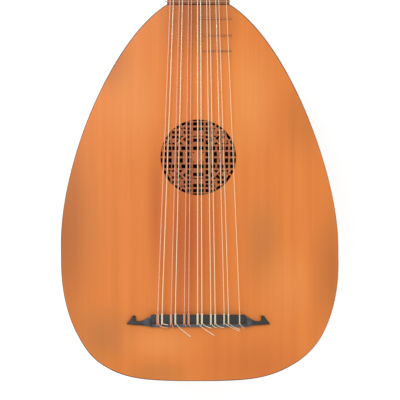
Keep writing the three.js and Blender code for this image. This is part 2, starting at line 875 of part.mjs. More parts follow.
function pegHole(number, side) {
  const reach = pegboxHalfAt(pegY(number));
  const radius = Math.max(
    pegRadiusAt(number, side * reach),
    pegRadiusAt(number, side * (reach - cheekThickness)),
  );
  const flat = (radius + turningRoom) / Math.cos(Math.PI / pegSides);
  const hole = new THREE.CylinderGeometry(flat, flat, 2 * overrun + cheekThickness, pegSides);
  hole.rotateZ(Math.PI / 2);
  return hole.translate(side * (reach - cheekThickness / 2), pegY(number), pegZ(number));
}

function cheek(side) {
  const end = pegboxLength / Math.cos(pegboxTaper);
  const shape = new THREE.Shape();
  shape.moveTo(pegboxTop, 0);
  shape.lineTo(pegboxTop, cheekBack);
  shape.lineTo(end, cheekBack);
  shape.lineTo(end, pegboxFrontAt(pegboxLength));
  shape.quadraticCurveTo((pegboxTop + end) / 2, pegboxFrontAt(pegboxLength / 2), pegboxTop, 0);
  const plate = prism(shape, cheekThickness);
  plate.applyMatrix4(new THREE.Matrix4().makeBasis(
    new THREE.Vector3(0, 1, 0),
    new THREE.Vector3(0, 0, 1),
    new THREE.Vector3(1, 0, 0),
  ));
  plate.translate(side > 0 ? -cheekThickness : 0, 0, 0);
  plate.rotateZ(side * pegboxTaper);
  plate.translate(side * nutHalfWidth, 0, 0);
  const holes = [];
  for (let number = 0; number < pegCount; number += 1) holes.push(pegHole(number, side));
  return shaped(solid(plate).subtract(joined(holes)));
}

function taperedPlate(y0, y1, inset, z0, z1) {
  const shape = [
    new THREE.Vector2(-pegboxHalfAt(y0) + inset, y0),
    new THREE.Vector2(pegboxHalfAt(y0) - inset, y0),
    new THREE.Vector2(pegboxHalfAt(y1) - inset, y1),
    new THREE.Vector2(-pegboxHalfAt(y1) + inset, y1),
  ];
  return prism(shape, z1 - z0).translate(0, 0, z0);
}

function peg(number) {
  const side = pegSide(number);
  const reach = pegboxHalfAt(pegY(number));
  const tip = -reach - pegTipReach;
  const shoulder = reach + seam;
  const collarEnd = shoulder + collarLength;
  const shankEnd = collarEnd + shankLength;
  const profile = [
    [0, tip],
    [pegTipRadius, tip],
    [pegShoulderRadius, reach],
    [pegShoulderRadius, shoulder],
    [collarRadius, shoulder + collarLength / 3],
    [collarRadius, collarEnd - collarLength / 3],
    [shankRadius, collarEnd + collarLength / 3],
    [shankRadius, shankEnd],
    [0, shankEnd],
  ].map(([radius, x]) => new THREE.Vector2(radius, x));
  const shaft = new THREE.LatheGeometry(profile, pegSides);
  const thumb = new THREE.Shape();
  const wide = headHalfWidth - headRound;
  thumb.moveTo(-shankRadius / 2, 0);
  thumb.quadraticCurveTo(-wide, 0, -wide, headLength / 2);
  thumb.quadraticCurveTo(-wide, headLength - headRound, -headPipRadius, headLength - headRound);
  thumb.lineTo(headPipRadius, headLength - headRound);
  thumb.quadraticCurveTo(wide, headLength - headRound, wide, headLength / 2);
  thumb.quadraticCurveTo(wide, 0, shankRadius / 2, 0);
  const paddle = new THREE.ExtrudeGeometry(thumb, {
    depth: headThickness - 2 * headRound,
    bevelThickness: headRound,
    bevelSize: headRound,
    bevelSegments: 1,
    curveSegments: 2,
  });
  paddle.translate(0, collarEnd + shankLength / 2, headRound - headThickness / 2);
  paddle.rotateY(number * headTurn);
  const whole = solid(shaft).add(solid(paddle));
  return shaped(whole).rotateZ(side > 0 ? -Math.PI / 2 : Math.PI / 2);
}

// The peg of each string: outer strings turn on the pegs nearest the nut
function pegOf(string) {
  return string < bassPegCount ? 2 * string : 2 * (pegCount - 1 - string) + 1;
}

function fromPegbox(x, y, z) {
  return new THREE.Vector3(x, y, z).applyMatrix4(pegboxFrame);
}

// Turns of a string round its peg, from where it first touches, outwards to its cheek
function winding(string, radius) {
  const number = pegOf(string);
  const inner = pegboxHalfAt(pegY(number)) - cheekThickness;
  const side = Math.sign(string - bassPegCount + 0.5);
  const order = Math.floor(number / 2);
  const start = side * inner * THREE.MathUtils.lerp(innerTurnShare, outerTurnShare, order / (bassPegCount - 1));
  const pitch = side * (2 * radius + turnGap);
  const about = pegRadiusAt(number, start) + seam + turningRoom + radius;
  const nutPoint = new THREE.Vector2(seam, nutStringHeight - pegboxAhead);
  const axis = new THREE.Vector2(pegY(number), pegZ(number));
  const away = nutPoint.clone().sub(axis);
  const touch = away.angle() - Math.acos(about / away.length());
  const points = [];
  const steps = Math.round(windingTurns * windingSteps);
  for (let step = 0; step <= steps; step += 1) {
    const turn = step / windingSteps;
    const angle = touch - 2 * Math.PI * turn;
    points.push(fromPegbox(
      start + pitch * turn,
      axis.x + about * Math.cos(angle),
      axis.y + about * Math.sin(angle),
    ));
  }
  return points;
}

// Height of the bridge's sloping back at a depth behind its front
function heelHeight(depth) {
  const share = (depth - bridgeTopDepth) / (bridgeDepth - bridgeTopDepth);
  return THREE.MathUtils.lerp(bridgeHeight, bridgeHeelHeight, Math.min(share, 1));
}

// A string's whole route: cut end, loop over the bridge, hole, nut, and turns on its peg
function stringRoute(string, radius) {
  const x = bridgeX(string);
  const clear = seam + radius;
  const spread = 2 * radius + loopSpace;
  const close = radius + turnGap / 2;
  const edge = bridgeRound / 4 - cornerShare * clear;
  const top = bridgeHeight + clear;
  const [kinkX, kinkBehind, endX, endBehind] = stringTails[string];
  const foot = boardTop + seam;
  const at = (dx, depth, height) => new THREE.Vector3(x + dx, bridgeFront - depth, foot + height);
  const rest = (dx, behind) => {
    const depth = bridgeDepth + behind;
    return at(dx, depth, clear + (behind > tailFall ? tailRise : heelHeight(depth)));
  };
  const over = (dx) => [
    at(dx, bridgeTopDepth - edge, bridgeHeight + clear / 2),
    at(dx, bridgeTopDepth - bridgeRound / 2, top),
    at(dx, bridgeRound, top),
    at(dx, edge, bridgeHeight - edge),
  ];
  return [
    rest(endX, endBehind),
    rest(kinkX, kinkBehind),
    ...over(close),
    at(spread, -clear, bridgeHeight - bridgeRound),
    at(loopFootShare * spread, -clear, bridgeHoleHeight - 2 * radius - loopDrop),
    at(-loopFootShare * spread, -clear, bridgeHoleHeight - 2 * radius - loopDrop),
    at(-spread, -clear, bridgeHeight - bridgeRound),
    ...over(-close).reverse(),
    at(-close, bridgeTopDepth + bridgeRound + clear, bridgeHoleHeight + bridgeRound / 2),
    at(0, bridgeTopDepth + bridgeRound + clear / 2, bridgeHoleHeight),
    at(0, bridgeTopDepth, bridgeHoleHeight),
    at(0, 0, bridgeHoleHeight),
    new THREE.Vector3((x + nutX(string)) / 2, (bridgeFront + nutY) / 2, (holeZ + nutZ) / 2),
    new THREE.Vector3(nutX(string), nutY, nutZ),
    new THREE.Vector3(nutX(string), nutY + nutThickness, nutZ),
    new THREE.Vector3(nutX(string), neckEnd + clear, nutZ - clear),
    ...winding(string, radius),
  ];
}

// The least gap between stretches of one string that lie more than a few diameters apart
function leastGap(points, radius) {
  const curve = new Route(points);
  const samples = curve.getPoints(4 * (points.length - 1));
  const lengths = [0];
  for (let i = 1; i < samples.length; i += 1) {
    lengths.push(lengths[i - 1] + samples[i].distanceTo(samples[i - 1]));
  }
  let least = Infinity;
  for (let i = 0; i < samples.length; i += 1) {
    for (let j = i + 1; j < samples.length; j += 1) {
      if (lengths[j] - lengths[i] > 8 * radius + 2 * seam) {
        least = Math.min(least, samples[i].distanceTo(samples[j]) - 2 * radius);
      }
    }
  }
  return least;
}

// Assembly
const lute = new THREE.Group();

function add(parent, name, geometry, finish) {
  const mesh = new THREE.Mesh(geometry, new THREE.MeshStandardMaterial(finish));
  mesh.name = name;
  parent.add(mesh);
  return mesh;
}

add(lute, 'soundboard', soundboard(), spruce);
for (let number = 0; number < ribCount; number += 1) {
  add(lute, `rib_${number + 1}`, rib(number), walnut);
}
add(lute, 'end_clasp', endClasp(), walnut);
add(lute, 'end_liner', endLiner(), innerWood);
add(lute, 'neck_block', neckBlock(), innerWood);
add(lute, 'neck', neck(), maple);
add(lute, 'fingerboard', fingerboard(), plum);
add(lute, 'nut', nut(), bone);
add(lute, 'bridge', bridge(), blackWood);
for (let number = 0; number < boardFretCount; number += 1) {
  const name = `body_fret_${tiedFretCount + 1 + number}`;
  add(lute, name, boardFret(number), plum);
}
for (let fret = 1; fret <= tiedFretCount; fret += 1) {
  add(lute, `tied_fret_${fret}`, tiedFret(fretPlace(fret)), gut);
}

const pegbox = toPegbox(new THREE.Group());
lute.add(pegbox);
add(pegbox, 'pegbox_cheek_bass', cheek(-1), maple);
add(pegbox, 'pegbox_cheek_treble', cheek(1), maple);
const innerInset = (cheekThickness + seam) / Math.cos(pegboxTaper);
const backPlate = taperedPlate(pegboxTop, pegboxLength, 0, -pegboxDepth, -pegboxDepth + backThickness);
add(pegbox, 'pegbox_back', backPlate, maple);
const endBlock = taperedPlate(
  pegboxLength - endBlockLength, pegboxLength, innerInset, cheekBack, -pegboxFrontDrop,
);
add(pegbox, 'pegbox_end_block', endBlock, maple);
const headBlock = taperedPlate(
  pegboxTop, pegboxTop + headBlockLength, innerInset, cheekBack, -headBlockDrop,
);
add(pegbox, 'pegbox_head_block', headBlock, maple);
for (let number = 0; number < pegCount; number += 1) {
  const order = Math.floor(number / 2) + 1;
  const name = number % 2 === 0 ? `peg_bass_${order}` : `peg_treble_${order}`;
  add(pegbox, name, peg(number), rosewood).position.set(0, pegY(number), pegZ(number));
}

stringRadii.forEach((radius, string) => {
  const route = stringRoute(string, radius);
  const name = stringNames[string];
  const finish = woundStrings.includes(name) ? copper : gut;
  add(lute, `string_${name}`, tube(route, radius, stringSides), finish);
  console.log(`string ${name}: least gap to itself ${leastGap(route, radius).toFixed(2)} mm`);
});

export default lute;
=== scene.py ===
# %% [markdown]
# # A seven-course lute, looked at from above
# The lute lies on its back and the camera looks straight down on its soundboard. Everything
# that shows on the real one is made here: an amber spruce board with a woven rose, a bowl of
# nine bent ribs, a blackened bridge, gut and copper-wound strings, tied frets and turned pegs.
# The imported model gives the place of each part, so every piece is made where its part lies.

# %% Load the frame
import json
import math

import bpy
from mathutils import Matrix, Vector

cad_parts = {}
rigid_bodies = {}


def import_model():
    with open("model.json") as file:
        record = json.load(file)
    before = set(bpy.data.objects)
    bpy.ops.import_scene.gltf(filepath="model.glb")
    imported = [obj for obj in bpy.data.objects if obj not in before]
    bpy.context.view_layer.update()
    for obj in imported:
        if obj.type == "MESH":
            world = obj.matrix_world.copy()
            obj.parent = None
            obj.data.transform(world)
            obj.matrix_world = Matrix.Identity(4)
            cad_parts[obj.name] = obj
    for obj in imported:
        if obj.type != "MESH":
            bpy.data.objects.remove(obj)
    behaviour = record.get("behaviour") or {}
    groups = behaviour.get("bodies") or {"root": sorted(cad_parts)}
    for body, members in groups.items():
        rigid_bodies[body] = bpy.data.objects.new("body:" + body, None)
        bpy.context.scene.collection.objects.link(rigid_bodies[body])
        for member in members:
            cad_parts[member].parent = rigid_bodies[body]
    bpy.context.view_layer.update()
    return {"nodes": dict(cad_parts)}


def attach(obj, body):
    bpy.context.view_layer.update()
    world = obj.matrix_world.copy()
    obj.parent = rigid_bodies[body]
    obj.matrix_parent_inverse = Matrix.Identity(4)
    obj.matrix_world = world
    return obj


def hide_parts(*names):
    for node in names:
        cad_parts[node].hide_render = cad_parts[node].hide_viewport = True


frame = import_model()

# %% [markdown]
# ## Measures
# The lute's own measures come first, in metres, because the camera, the board, the bowl and
# the strings all use them. X runs from the bass strings to the treble ones, Y from the tail
# to the neck, and Z up from the facet of the bowl that the lute rests on.

# %% Body measures
MM = 0.001
# Half of the body's greatest width, and half of the length of the facet under it
body_half, rest_half = 155 * MM, 10 * MM
# From the middle of that facet to the neck's joint and to the tail
body_ahead, body_behind = 279 * MM, 142 * MM
# The neck's half-width and its depth at the joint
neck_half, neck_depth = 35 * MM, 30 * MM
bowl_depth = 154 * MM
board_thickness = 2 * MM
# The room that is left between two neighbouring parts
seam = 0.3 * MM
board_under = bowl_depth + seam
board_top = board_under + board_thickness
print("body:", round(2 * body_half, 3), "m wide,", round(body_ahead + body_behind, 3), "m long")

# %% [markdown]
# ## Camera
# The photograph was taken from straight above with a long lens, so the bowl hides completely
# behind the board's edge. A camera four metres up with a telephoto lens gives that look. The
# picture is 400 pixels wide and covers 447 mm of the board, which fixes the lens.

# %% Camera over the board
picture_width = 446.7 * MM
picture_middle = (1.9 * MM, 60.3 * MM)
camera_height = 4.0
camera_data = bpy.data.cameras.new("camera")
camera = bpy.data.objects.new("camera", camera_data)
bpy.context.scene.collection.objects.link(camera)
camera.location = (*picture_middle, board_top + camera_height)
camera_data.sensor_width = 36
camera_data.lens = camera_data.sensor_width * camera_height / picture_width
camera_data.clip_end = 100
bpy.context.scene.camera = camera
bpy.context.scene.view_settings.view_transform = "Standard"
print("lens:", round(camera_data.lens, 1), "mm")

# %% [markdown]
# ## Colours and nodes
# Colours are written as they look on a screen, so one function turns them into the linear
# values that the shaders work in. A second small function adds a node, sets it and feeds it,
# which keeps each material below short enough to read.

# %% Colour and node helpers
def colour(code):
    """Linear RGBA of a screen colour written as six hex digits."""
    shares = [int(code[i:i + 2], 16) / 255 for i in (0, 2, 4)]
    linear = [s / 12.92 if s <= 0.04045 else ((s + 0.055) / 1.055) ** 2.4 for s in shares]
    return (*linear, 1)


def node(tree, kind, feeds=None, **settings):
    """Adds a shader node; feeds maps its inputs to values or to other nodes' outputs."""
    new = tree.nodes.new("ShaderNode" + kind)
    for key, value in settings.items():
        setattr(new, key, value)
    for key, value in (feeds or {}).items():
        if isinstance(value, bpy.types.NodeSocket):
            tree.links.new(value, new.inputs[key])
        else:
            new.inputs[key].default_value = value
    return new


def material(name):
    """A new material and its node tree, emptied."""
    made = bpy.data.materials.new(name)
    made.use_nodes = True
    made.node_tree.nodes.clear()
    return made, made.node_tree


print("amber in linear light:", [round(v, 3) for v in colour("DC8745")])

# %% [markdown]
# ## Light, floor and background
# The lute was lit softly from all round and cut out on white. A pale world gives most of that
# light, and a large lamp above the bass side adds the little shape that there is. The floor
# turns white for the camera by a glow that only camera and mirror rays see, so it keeps the
# lute's shadow where that is deep.

# %% World
def seen_rays(tree):
    """One for rays from the camera, a mirror or glass, and zero for all other rays."""
    rays = node(tree, "LightPath")
    seen = node(tree, "Math", {0: rays.outputs["Is Camera Ray"],
                               1: rays.outputs["Is Glossy Ray"]}, operation="MAXIMUM")
    return node(tree, "Math", {0: seen.outputs[0], 1: rays.outputs["Is Transmission Ray"]},
                operation="MAXIMUM").outputs[0]


world = bpy.data.worlds.new("studio")
bpy.context.scene.world = world
world.use_nodes = True
tree = world.node_tree
tree.nodes.clear()
room = node(tree, "Background", {"Color": (1, 1, 1, 1), "Strength": 0.62})
white = node(tree, "Background", {"Color": (1, 1, 1, 1), "Strength": 1.0})
both = node(tree, "MixShader", {0: seen_rays(tree), 1: room.outputs[0], 2: white.outputs[0]})
node(tree, "OutputWorld", {"Surface": both.outputs[0]})
print("world ready")

# %% Lamps
body_middle = Vector((0, 60 * MM, 100 * MM))


def lamp(name, place, size, power):
    """A square lamp that faces the middle of the body, in metres and watts."""
    data = bpy.data.lights.new(name, "AREA")
    data.size = size
    data.energy = power
    made = bpy.data.objects.new(name, data)
    bpy.context.scene.collection.objects.link(made)
    made.location = place
    aim = body_middle - made.location
    made.rotation_euler = aim.to_track_quat("-Z", "Y").to_euler()


lamp("key", (-1.1, 0.9, 2.2), 1.2, 24)
lamp("fill", (1.6, -0.8, 1.6), 1.6, 8)

# %% Floor
def start():
    """Leaves edit mode and deselects all, so that the next operator acts on one piece."""
    if bpy.context.mode != "OBJECT":
        bpy.ops.object.mode_set(mode="OBJECT")
    bpy.ops.object.select_all(action="DESELECT")


start()
# The paper lies a hair under the lute, so that no two faces share a place
bpy.ops.mesh.primitive_plane_add(size=24, location=(0, 0, -0.1 * MM))
floor = bpy.context.object
floor.name = "floor"
paper, tree = material("white paper sweep")
matt = node(tree, "BsdfDiffuse", {"Color": colour("BEBEBE")})
glow = node(tree, "Emission", {"Color": (1, 1, 1, 1), "Strength": 0.72})
dark = node(tree, "Emission", {"Color": (0, 0, 0, 1), "Strength": 0.0})
lift = node(tree, "MixShader", {0: seen_rays(tree), 1: dark.outputs[0], 2: glow.outputs[0]})
both = node(tree, "AddShader", {0: matt.outputs[0], 1: lift.outputs[0]})
node(tree, "OutputMaterial", {"Surface": both.outputs[0]})
floor.data.materials.append(paper)
print("floor ready")

# %% [markdown]
# ## Spruce for the soundboard
# A lute's top is quarter-sawn spruce, so its yearly rings show as fine straight lines along
# the strings, about a millimetre apart. Years of oil varnish made it amber, deeper in some
# bands than in others. A pattern of nodes keeps its real scale all over the board, which a
# picture of wood wouldn't. The rings are a wave across X, bent a little by noise, and the
# bands are noise stretched along Y.

# %% Spruce grain
# The distance between the bands of a wave texture that has a scale of 1, in metres
wave_unit = 2 * math.pi / 20
spruce, tree = material("amber varnished spruce")
place = node(tree, "TexCoord").outputs["Object"]
along = node(tree, "Mapping", {"Vector": place, "Scale": (1, 0.03, 1)})
bands = node(tree, "TexNoise", {"Vector": along.outputs[0], "Scale": 1 / (11 * MM),
                                "Detail": 3, "Roughness": 0.55})
cloud = node(tree, "TexNoise", {"Vector": place, "Scale": 1 / (70 * MM), "Detail": 2})
ring_spacing = 1.3 * MM
rings = node(tree, "TexWave", {"Vector": along.outputs[0], "Distortion": 5.0, "Detail": 2,
                               "Detail Scale": 0.6, "Scale": wave_unit / ring_spacing},
             bands_direction="X")
strong = node(tree, "MapRange", {"Value": bands.outputs["Fac"], "From Min": 0.3,
                                 "From Max": 0.7})
base = node(tree, "MixRGB", {"Fac": strong.outputs[0], "Color1": colour("F28E3C"),
                             "Color2": colour("DE7C34")})
warm = node(tree, "MixRGB", {"Fac": cloud.outputs["Fac"], "Color1": base.outputs[0],
                             "Color2": colour("E98638")})
print("grain:", len(tree.nodes), "nodes")

# %% [markdown]
# ## Stains, dirt, painted shade and reflections, and gloss of the board
# Wide soft stains lie over the grain in four tones of the same varnish: rubbed pale on the
# shoulders and behind the bridge, red and thick under the strings, brown from handling along
# the edges, and dull where a hand rests. They copy soft blotches that are partly uneven varnish
# and partly soft reflections of the light, so they are partly painted reflection, the pale ones
# most of all. Each is a soft round gradient, stretched to its size, because a stain has a place
# and plain noise doesn't. Dust in the rose, painted shade where the wood lies lower than the
# board's face, and a thin dark line round the edge that is partly dirt and partly painted
# shade, follow the height of the wood instead.

# %% Stains and painted reflections
# The pale tone is partly rubbed varnish and partly a painted reflection of soft light
varnish_and_reflection_tones = {"pale": "FAA256", "red": "B04A16", "brown": "9C5626", "dull": "B4743C"}
# Each stain: its middle and half-sizes in millimetres, its tone, and how strongly it covers
stains_and_reflections = [
    ((-4, 20), (55, 150), "red", 0.45),
    ((-48, 55), (14, 120), "red", 0.5),
    ((-14, 25), (24, 110), "red", 0.35),
    ((-155, 30), (62, 180), "brown", 0.75),
    ((-96, 215), (30, 50), "brown", 0.5),
    ((0, 275), (62, 85), "brown", 0.8),
    ((-72, 165), (45, 90), "pale", 0.45),
    ((58, 175), (40, 90), "pale", 0.6),
    ((112, 150), (38, 70), "brown", 0.3),
    ((70, 12), (32, 75), "dull", 0.5),
    ((100, -35), (40, 60), "pale", 0.4),
    ((150, -20), (30, 110), "brown", 0.5),
    ((-110, -92), (55, 50), "dull", 0.6),
    ((-42, -98), (60, 32), "pale", 0.5),
    ((60, -125), (90, 45), "red", 0.3),
    ((-50, -135), (60, 25), "dull", 0.4),
]
tone = warm.outputs[0]
for middle, half, shade, cover in stains_and_reflections:
    spot = node(tree, "Mapping", {"Vector": place,
                                  "Location": [m * MM for m in (*middle, 0)],
                                  "Scale": [h * MM for h in (*half, 1000)]},
                vector_type="TEXTURE")
    soft = node(tree, "TexGradient", {"Vector": spot.outputs[0]}, gradient_type="SPHERICAL")
    ease = node(tree, "MapRange", {"Value": soft.outputs["Fac"], "To Max": cover},
                interpolation_type="SMOOTHSTEP")
    tone = node(tree, "MixRGB", {"Fac": ease.outputs[0], "Color1": tone,
                                 "Color2": colour(varnish_and_reflection_tones[shade])}).outputs[0]
print("stains:", len(stains_and_reflections))

# %% Rings, dirt and gloss
line = node(tree, "MapRange", {"Value": rings.outputs["Fac"], "To Min": 0.0, "To Max": 0.22})
tone = node(tree, "MixRGB", {"Fac": line.outputs[0], "Color1": tone,
                             "Color2": colour("8E4318")}).outputs[0]
# Painted shade: a darker brown wherever the wood lies lower than the board's face, on the
# rounded edge and in the rose, where less light reaches
height = node(tree, "SeparateXYZ", {"Vector": place})
painted_low_shade = node(tree, "MapRange", {"Value": height.outputs["Z"], "From Min": board_top - 0.75 * MM,
                               "From Max": board_top - 0.1 * MM, "To Min": 0.8, "To Max": 0})
tone = node(tree, "MixRGB", {"Fac": painted_low_shade.outputs[0], "Color1": tone,
                             "Color2": colour("8A4520")}).outputs[0]
# The carved straps of the rose hold a red-brown dust that the open face doesn't
rose_radius, rose_ahead = 42.2 * MM, 108 * MM
carved = node(tree, "Mapping", {"Vector": place, "Location": (0, rose_ahead, 0),
                                "Scale": (rose_radius, rose_radius, 1)},
              vector_type="TEXTURE")
carved = node(tree, "TexGradient", {"Vector": carved.outputs[0]}, gradient_type="SPHERICAL")
dust = node(tree, "MapRange", {"Value": carved.outputs["Fac"], "To Max": 0.55,
                               "From Max": 0.05})
tone = node(tree, "MixRGB", {"Fac": dust.outputs[0], "Color1": tone,
                             "Color2": colour("9C5E40")}).outputs[0]
# A thin dark line is painted round the board's rounded edge for glue, dirt and the ribs' dark
# wood, and partly as painted shade along the rim. It is uneven, and fades nearly away at
# the widest part
outer = node(tree, "MapRange", {"Value": height.outputs["Z"], "From Min": board_top - 0.02 * MM,
                                "From Max": board_top - 0.004 * MM, "To Min": 1, "To Max": 0})
patchy_line = node(tree, "MapRange", {"Value": cloud.outputs["Fac"], "From Min": 0.35,
                                 "From Max": 0.6, "To Min": 0.7, "To Max": 1})
beyond = node(tree, "MapRange", {"Value": carved.outputs["Fac"], "From Max": 0.01,
                                 "To Min": 1, "To Max": 0})
aside = node(tree, "Math", {0: height.outputs["X"]}, operation="ABSOLUTE")
painted_fade = node(tree, "MapRange", {"Value": aside.outputs[0], "From Min": 0.6 * body_half,
                                 "From Max": 0.95 * body_half, "To Min": 1, "To Max": 0.25})
for limit in (patchy_line, beyond, painted_fade):
    outer = node(tree, "Math", {0: outer.outputs[0], 1: limit.outputs[0]}, operation="MULTIPLY")
# The dark line is partly dirt and partly painted shade along the rim
tone = node(tree, "MixRGB", {"Fac": outer.outputs[0], "Color1": tone,
                             "Color2": colour("3C2619")}).outputs[0]
relief = node(tree, "Bump", {"Height": rings.outputs["Fac"], "Strength": 0.12,
                             "Distance": 0.05 * MM})
shader = node(tree, "BsdfPrincipled", {"Base Color": tone, "Roughness": 0.46, "IOR": 1.45,
                                       "Specular IOR Level": 0.35, "Coat Weight": 0.12,
                                       "Coat Roughness": 0.25, "Normal": relief.outputs[0]})
node(tree, "OutputMaterial", {"Surface": shader.outputs[0]})
print("spruce:", len(tree.nodes), "nodes")

# %% [markdown]
# ## The other woods
# The bowl, the neck, the fingerboard, the pegs and the bridge are all hardwoods, which look
# alike in kind: fibres along the piece, pores as short dark dashes, and a slow change of
# colour. One function makes them all, with each wood's own two colours, its fibre width and
# its finish. Fibres run along Y, along a turned direction on the bent-back pegbox, or along
# V of a UV map on the ribs, where the wood was bent round the bowl.

# %% One function for all hardwoods
def hardwood(name, pale, deep, fibre, roughness, coat, source="Object", turn=0.0, painted_sheen=None):
    """A hardwood with fibres along Y; fibre is the width of a streak in metres. A painted sheen
    changes the wood to a second colour between two heights, the lower first, within a reach in
    X: that colour is a painted reflection of the light."""
    made, tree = material(name)
    place = node(tree, "TexCoord").outputs[source]
    turned_place = node(tree, "Mapping", {"Vector": place, "Rotation": (turn, 0, 0)})
    along = node(tree, "Mapping", {"Vector": turned_place.outputs[0], "Scale": (1, 0.05, 1)})
    streak = node(tree, "TexNoise", {"Vector": along.outputs[0], "Scale": 1 / fibre,
                                     "Detail": 4, "Roughness": 0.6})
    pore = node(tree, "TexNoise", {"Vector": along.outputs[0], "Scale": 6 / fibre,
                                   "Detail": 2})
    cloud = node(tree, "TexNoise", {"Vector": place, "Scale": 1 / (45 * MM), "Detail": 2})
    spread = node(tree, "MapRange", {"Value": streak.outputs["Fac"], "From Min": 0.3,
                                     "From Max": 0.7})
    tone = node(tree, "MixRGB", {"Fac": spread.outputs[0], "Color1": colour(pale),
                                 "Color2": colour(deep)})
    dim = node(tree, "MapRange", {"Value": cloud.outputs["Fac"], "From Min": 0.3,
                                  "From Max": 0.75, "To Max": 0.45})
    tone = node(tree, "MixRGB", {"Fac": dim.outputs[0], "Color1": tone.outputs[0],
                                 "Color2": colour(deep)})
    dash = node(tree, "MapRange", {"Value": pore.outputs["Fac"], "From Min": 0.56,
                                   "From Max": 0.68, "To Max": 0.5})
    tone = node(tree, "MixRGB", {"Fac": dash.outputs[0], "Color1": tone.outputs[0],
                                 "Color2": colour(deep)}, blend_type="MULTIPLY")
    own = node(tree, "Attribute", attribute_name="shade")
    light = node(tree, "MapRange", {"Value": own.outputs["Fac"], "From Min": -1,
                                    "To Min": 0.72, "To Max": 1.28})
    tone = node(tree, "HueSaturation", {"Color": tone.outputs[0], "Value": light.outputs[0]})
    # The second colour is a painted sheen: reflected light painted on the low faces near the
    # middle
    if painted_sheen:
        low, high, reach, shade = painted_sheen
        height = node(tree, "SeparateXYZ", {"Vector": place})
        painted_fade = node(tree, "MapRange", {"Value": height.outputs["Z"], "From Min": low,
                                         "From Max": high, "To Min": 0.9, "To Max": 0})
        aside = node(tree, "Math", {0: height.outputs["X"]}, operation="ABSOLUTE")
        within = node(tree, "MapRange", {"Value": aside.outputs[0], "From Min": reach,
                                         "From Max": 1.15 * reach, "To Min": 1, "To Max": 0})
        painted_fade = node(tree, "Math", {0: painted_fade.outputs[0], 1: within.outputs[0]},
                      operation="MULTIPLY")
        tone = node(tree, "MixRGB", {"Fac": painted_fade.outputs[0], "Color1": tone.outputs[0],
                                     "Color2": colour(shade)})
    relief = node(tree, "Bump", {"Height": pore.outputs["Fac"], "Strength": 0.25,
                                 "Distance": 0.06 * MM})
    shader = node(tree, "BsdfPrincipled", {"Base Color": tone.outputs[0],
                                           "Roughness": roughness, "IOR": 1.5,
                                           "Coat Weight": coat, "Coat Roughness": 0.15,
                                           "Normal": relief.outputs[0]})
    node(tree, "OutputMaterial", {"Surface": shader.outputs[0]})
    return made


print("hardwood ready")

# %% The lute's hardwoods
pegbox_bend = math.radians(78)
# The bowl is varnished walnut: brown with darker streaks and a soft shine
walnut = hardwood("varnished walnut ribs", "93603C", "5A341F", 1.8 * MM, 0.35, 0.35, "UV")
# The neck is maple stained brown to match, closer in grain
maple = hardwood("stained maple", "94603A", "6B3F22", 1.6 * MM, 0.4, 0.25)
# The pegbox is of the same maple, with its fibres running down its length
bent_maple = hardwood("stained maple, pegbox", "8E5A36", "633A20", 1.6 * MM, 0.4, 0.25,
                      turn=pegbox_bend)
# The fingerboard is oiled plum wood, rubbed by the strings
plum = hardwood("oiled plum wood", "A86A42", "844B2B", 1.4 * MM, 0.5, 0.0)
# The bridge is pear wood dyed black, with a cool grey painted on its heel and shoulders as a
# painted reflection
pearwood = hardwood("black-dyed pear wood", "1E1C1A", "100E0D", 1.0 * MM, 0.45, 0.0,
                    painted_sheen=(board_top + 3.5 * MM, board_top + 7.0 * MM, 54 * MM, "545C64"))
# The pegs are rosewood, turned and polished
rosewood = hardwood("turned rosewood", "5A3220", "2C1710", 1.5 * MM, 0.3, 0.4)
# The block and the liner inside the bowl are bare spruce
bare_spruce = hardwood("bare spruce", "DDBE92", "C69E6C", 1.5 * MM, 0.7, 0.0)
print("woods:", [m.name for m in bpy.data.materials if "paper" not in m.name])

# %% [markdown]
# ## Modelling helpers
# A few short helpers keep the modelling cells readable. Some select a piece or some of its
# faces, others apply a modifier, merge doubles, join and cut, and one cuts a plate from an
# outline as a fretsaw would. The last one finishes a piece: it gets its place in its mesh,
# smooth faces with crisp edges, its wood, and the body that it moves with.

# %% Selecting and editing
def select(piece):
    """Makes one piece the only one selected and the active one."""
    start()
    piece.select_set(True)
    bpy.context.view_layer.objects.active = piece


def edit_all(piece):
    """Opens edit mode with the whole piece selected."""
    select(piece)
    bpy.ops.object.mode_set(mode="EDIT")
    bpy.ops.mesh.select_all(action="SELECT")


def edit_faces(piece, chosen):
    """Opens edit mode with only those faces selected for which chosen says yes."""
    select(piece)
    for item in (*piece.data.vertices, *piece.data.edges):
        item.select = False
    for face in piece.data.polygons:
        face.select = chosen(face)
    bpy.ops.object.mode_set(mode="EDIT")
    bpy.ops.mesh.select_mode(type="FACE")


def clean(piece, limit=0.001 * MM):
    """Merges the doubles and turns all faces outwards."""
    edit_all(piece)
    bpy.ops.mesh.remove_doubles(threshold=limit)
    bpy.ops.mesh.normals_make_consistent(inside=False)
    bpy.ops.object.mode_set(mode="OBJECT")


def drawn(name, points, lines, faces):
    """A new piece from its points, the lines between them and the faces."""
    mesh = bpy.data.meshes.new(name)
    mesh.from_pydata(points, lines, faces)
    piece = bpy.data.objects.new(name, mesh)
    bpy.context.scene.collection.objects.link(piece)
    return piece


print("selecting helpers ready")

# %% Modifiers and places
def modify(piece, kind, **settings):
    """Adds a modifier with its settings and applies it."""
    select(piece)
    modifier = piece.modifiers.new(kind.lower(), kind)
    for key, value in settings.items():
        setattr(modifier, key, value)
    bpy.ops.object.modifier_apply(modifier=modifier.name)


def round_edges(piece, width, segments=2, degrees=40):
    """Rounds the edges at which two faces turn by more than an angle."""
    modify(piece, "BEVEL", width=width, segments=segments, limit_method="ANGLE",
           angle_limit=math.radians(degrees))


def place_by(piece, matrix):
    """Puts the piece where matrix says, and its place into its mesh."""
    select(piece)
    piece.matrix_world = matrix @ piece.matrix_world
    bpy.ops.object.transform_apply(location=True, rotation=True, scale=True)


print("modifier helpers ready")

